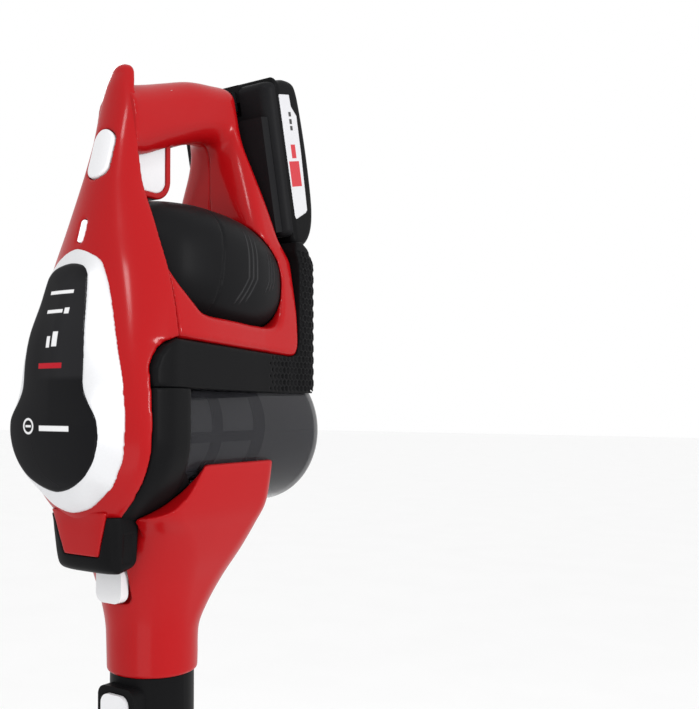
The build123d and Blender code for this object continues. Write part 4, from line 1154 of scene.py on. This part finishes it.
@dataclass
class BatteryPack:
    """The battery's bulged case and its printed strips.

    Attributes:
        step: The case's grain in millimetres.
        strip_step: The strips' grain.
    """

    step: float = 0.9
    strip_step: float = 0.55

    # outlines as (thickness, length) from the battery's foot
    SIDE = [(16, 1), (19, -4), (25, -6.5), (33, -4), (40, 3), (44.5, 14), (46.5, 30), (46.8, 60),
            (45.2, 88), (43, 102), (39, 107.5), (30, 109.5), (22, 109), (16, 108), (16, 70), (16, 30)]
    STRIP = [(19.6, 99), (32, 99), (32.6, 91), (38.2, 84.5), (38.2, 58), (36.8, 18.5), (34.5, 16.8),
             (22, 13.2), (20.6, 15)]

    def frame_place(self, space: Space) -> tuple[Field, Field]:
        """The leaning battery's own coordinates.

        Args:
            space: The grid.

        Returns:
            Places across its thickness and along its length.
        """
        sine, cosine = math.sin(BATTERY_LEAN), math.cos(BATTERY_LEAN)
        dy, dz = space.y - BATTERY_Y, space.z - BATTERY_Z
        return dy * cosine + dz * sine, dz * cosine - dy * sine

    def build(self, palette: Palette) -> list[bpy.types.Object]:
        """Meshes the case and the strips.

        Args:
            palette: The materials.

        Returns:
            The two pieces.
        """
        space = Space((-39, 70, 108), (39, 135, 240), self.step)
        t, s = self.frame_place(space)
        side = inside(curve(self.SIDE, 6), t[0], s[0])[None]
        body = rounded(side, np.abs(space.x) - 37.4, 4.0)
        body = np.maximum(body, 16.05 - t)
        groove = np.maximum(np.abs(t - 18.6) - 0.5, np.maximum(36.6 - np.abs(space.x), s - 104))
        body = np.maximum(body, -groove)
        hollow = np.maximum(rounded(side + 2.6, np.abs(space.x) - 34.8, 2.0), 2.4 - s)
        body = np.maximum(body, -np.maximum(hollow, 15 - t))
        made = [space.mesh("battery_shell", body, palette[Slot.BLACK_PLASTIC], "battery_case")]
        space = Space((-39, 80, 118), (39, 132, 228), self.strip_step)
        t, s = self.frame_place(space)
        strip = inside(np.array(self.STRIP, float), t[0], s[0])[None]
        strip = np.maximum(strip, np.abs(np.abs(space.x) - 37.3) - 0.45)
        printed = palette.keep("strip_print", self.strip_print)
        made.append(space.mesh("battery_strips", strip, printed, "battery_label", 1))
        return made

    def strip_print(self) -> bpy.types.Material:
        """Pale grey print with a red block and three small dark marks.

        Returns:
            The material.
        """
        made = Slot.LABEL.value.shader()
        sine, cosine = math.sin(BATTERY_LEAN), math.cos(BATTERY_LEAN)
        depth, height = made.tube(1) - BATTERY_Y, made.tube(2) - BATTERY_Z
        across = depth * cosine + height * sine
        up = height * cosine - depth * sine

        def block(t: float, s: float, wide: float, long: float) -> Term:
            """A block around (t, s), one inside it."""
            return (1.0 - abs(across - t).step(wide, wide + 0.3)) * (1.0 - abs(up - s).step(long, long + 0.3))

        grey = made.blend(made.noise(30.0), (0.52, 0.52, 0.54), (0.60, 0.60, 0.62))
        red = block(27.6, 44.5, 6.0, 8.6).most(block(28.6, 60.0, 2.6, 4.6))
        printed = made.blend(red, grey, (0.46, 0.01, 0.02))
        dark = block(29.6, 76.0, 1.4, 1.4).most(block(29.6, 80.5, 1.4, 1.6)).most(block(29.6, 85.5, 1.4, 1.4))
        made.drive("Base Color", made.blend(dark, printed, (0.02, 0.02, 0.02)))
        return made.material


@dataclass
class Studio:
    """Floor, lights and camera.

    Attributes:
        focal: Lens in millimetres on a 36 mm frame.
        position: The camera's place in tube millimetres.
        turn: The camera's heading in degrees, from +Y towards -X.
        pitch: How far it looks up, in degrees.
        shift: The lens shift, as shares of the frame.
    """

    focal: float = 48.06
    position: tuple[float, float, float] = (412.7, -438.0, 6.9)
    turn: float = 35.77
    pitch: float = 2.05
    shift: tuple[float, float] = (0.10, 0.02)

    def floor(self) -> None:
        """A pale floor well below the nozzle."""
        bpy.ops.mesh.primitive_plane_add(size=60.0, location=(0, 0, FLOOR_HEIGHT))
        plane = bpy.context.object
        plane.name = "floor"
        made = Shader("floor_white")
        grain = made.noise(3.0, 2.0)
        made.drive("Base Color", made.blend(grain, (0.93, 0.93, 0.93), (0.96, 0.96, 0.96)))
        made.principled.inputs["Roughness"].default_value = 0.9
        plane.data.materials.append(made.material)

    def lamp(self, name: str, place: Sequence[float], aim: Sequence[float], size: float, power: float) -> None:
        """A square soft light aimed at a point.

        Args:
            name: The lamp's name.
            place: Where it stands, in metres.
            aim: The point it faces.
            size: Its side in metres.
            power: Its power in watts.
        """
        data = bpy.data.lights.new(name, "AREA")
        data.size = size
        data.energy = power
        lamp = bpy.data.objects.new(name, data)
        lamp.location = place
        lamp.rotation_euler = (Vector(aim) - Vector(place)).to_track_quat("-Z", "Y").to_euler()
        bpy.context.collection.objects.link(lamp)

    def camera(self) -> None:
        """Places the camera and makes it the scene's own."""
        data = bpy.data.cameras.new("camera")
        data.lens = self.focal
        data.sensor_width = 36.0
        data.clip_end = 200.0
        data.shift_x, data.shift_y = self.shift
        camera = bpy.data.objects.new("camera", data)
        camera.location = to_row(*self.position)
        camera.rotation_euler = (math.radians(90 + self.pitch), 0.0, math.radians(self.turn))
        bpy.context.collection.objects.link(camera)
        bpy.context.scene.camera = camera

    def build(self) -> None:
        """Sets the whole studio up."""
        self.floor()
        self.lamp("key", (0.9, -1.3, 1.1), (0, -0.1, 0), 0.3, 6.0)
        self.lamp("fill", (1.35, -0.1, 0.15), (0, -0.1, 0), 0.3, 8.0)
        self.lamp("rim", (-1.4, 0.9, 1.0), (0, -0.1, 0), 0.4, 6.0)
        self.lamp("low", (0.6, -1.6, -0.9), (0, -0.1, -0.7), 1.0, 3.0)
        world = bpy.data.worlds.new("world")
        world.use_nodes = True
        background = world.node_tree.nodes["Background"]
        background.inputs["Color"].default_value = (1.0, 1.0, 1.0, 1.0)
        background.inputs["Strength"].default_value = 1.0
        bpy.context.scene.world = world
        bpy.context.scene.view_settings.view_transform = "Standard"
        self.camera()


def main() -> None:
    """Builds the whole scene."""
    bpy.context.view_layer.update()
    palette = Palette()
    Dress(palette).everything()
    RedCasing().build(palette)
    FaceSet().build(palette)
    MotorCover().build(palette)
    exhaust = ExhaustBody()
    exhaust.build(palette)
    exhaust.seat(palette)
    LatchHook().build(palette)
    Neck().build(palette)
    SmallKeys().build(palette)
    BatteryPack().build(palette)
    Studio().build()


if __name__ == "__main__":
    main()
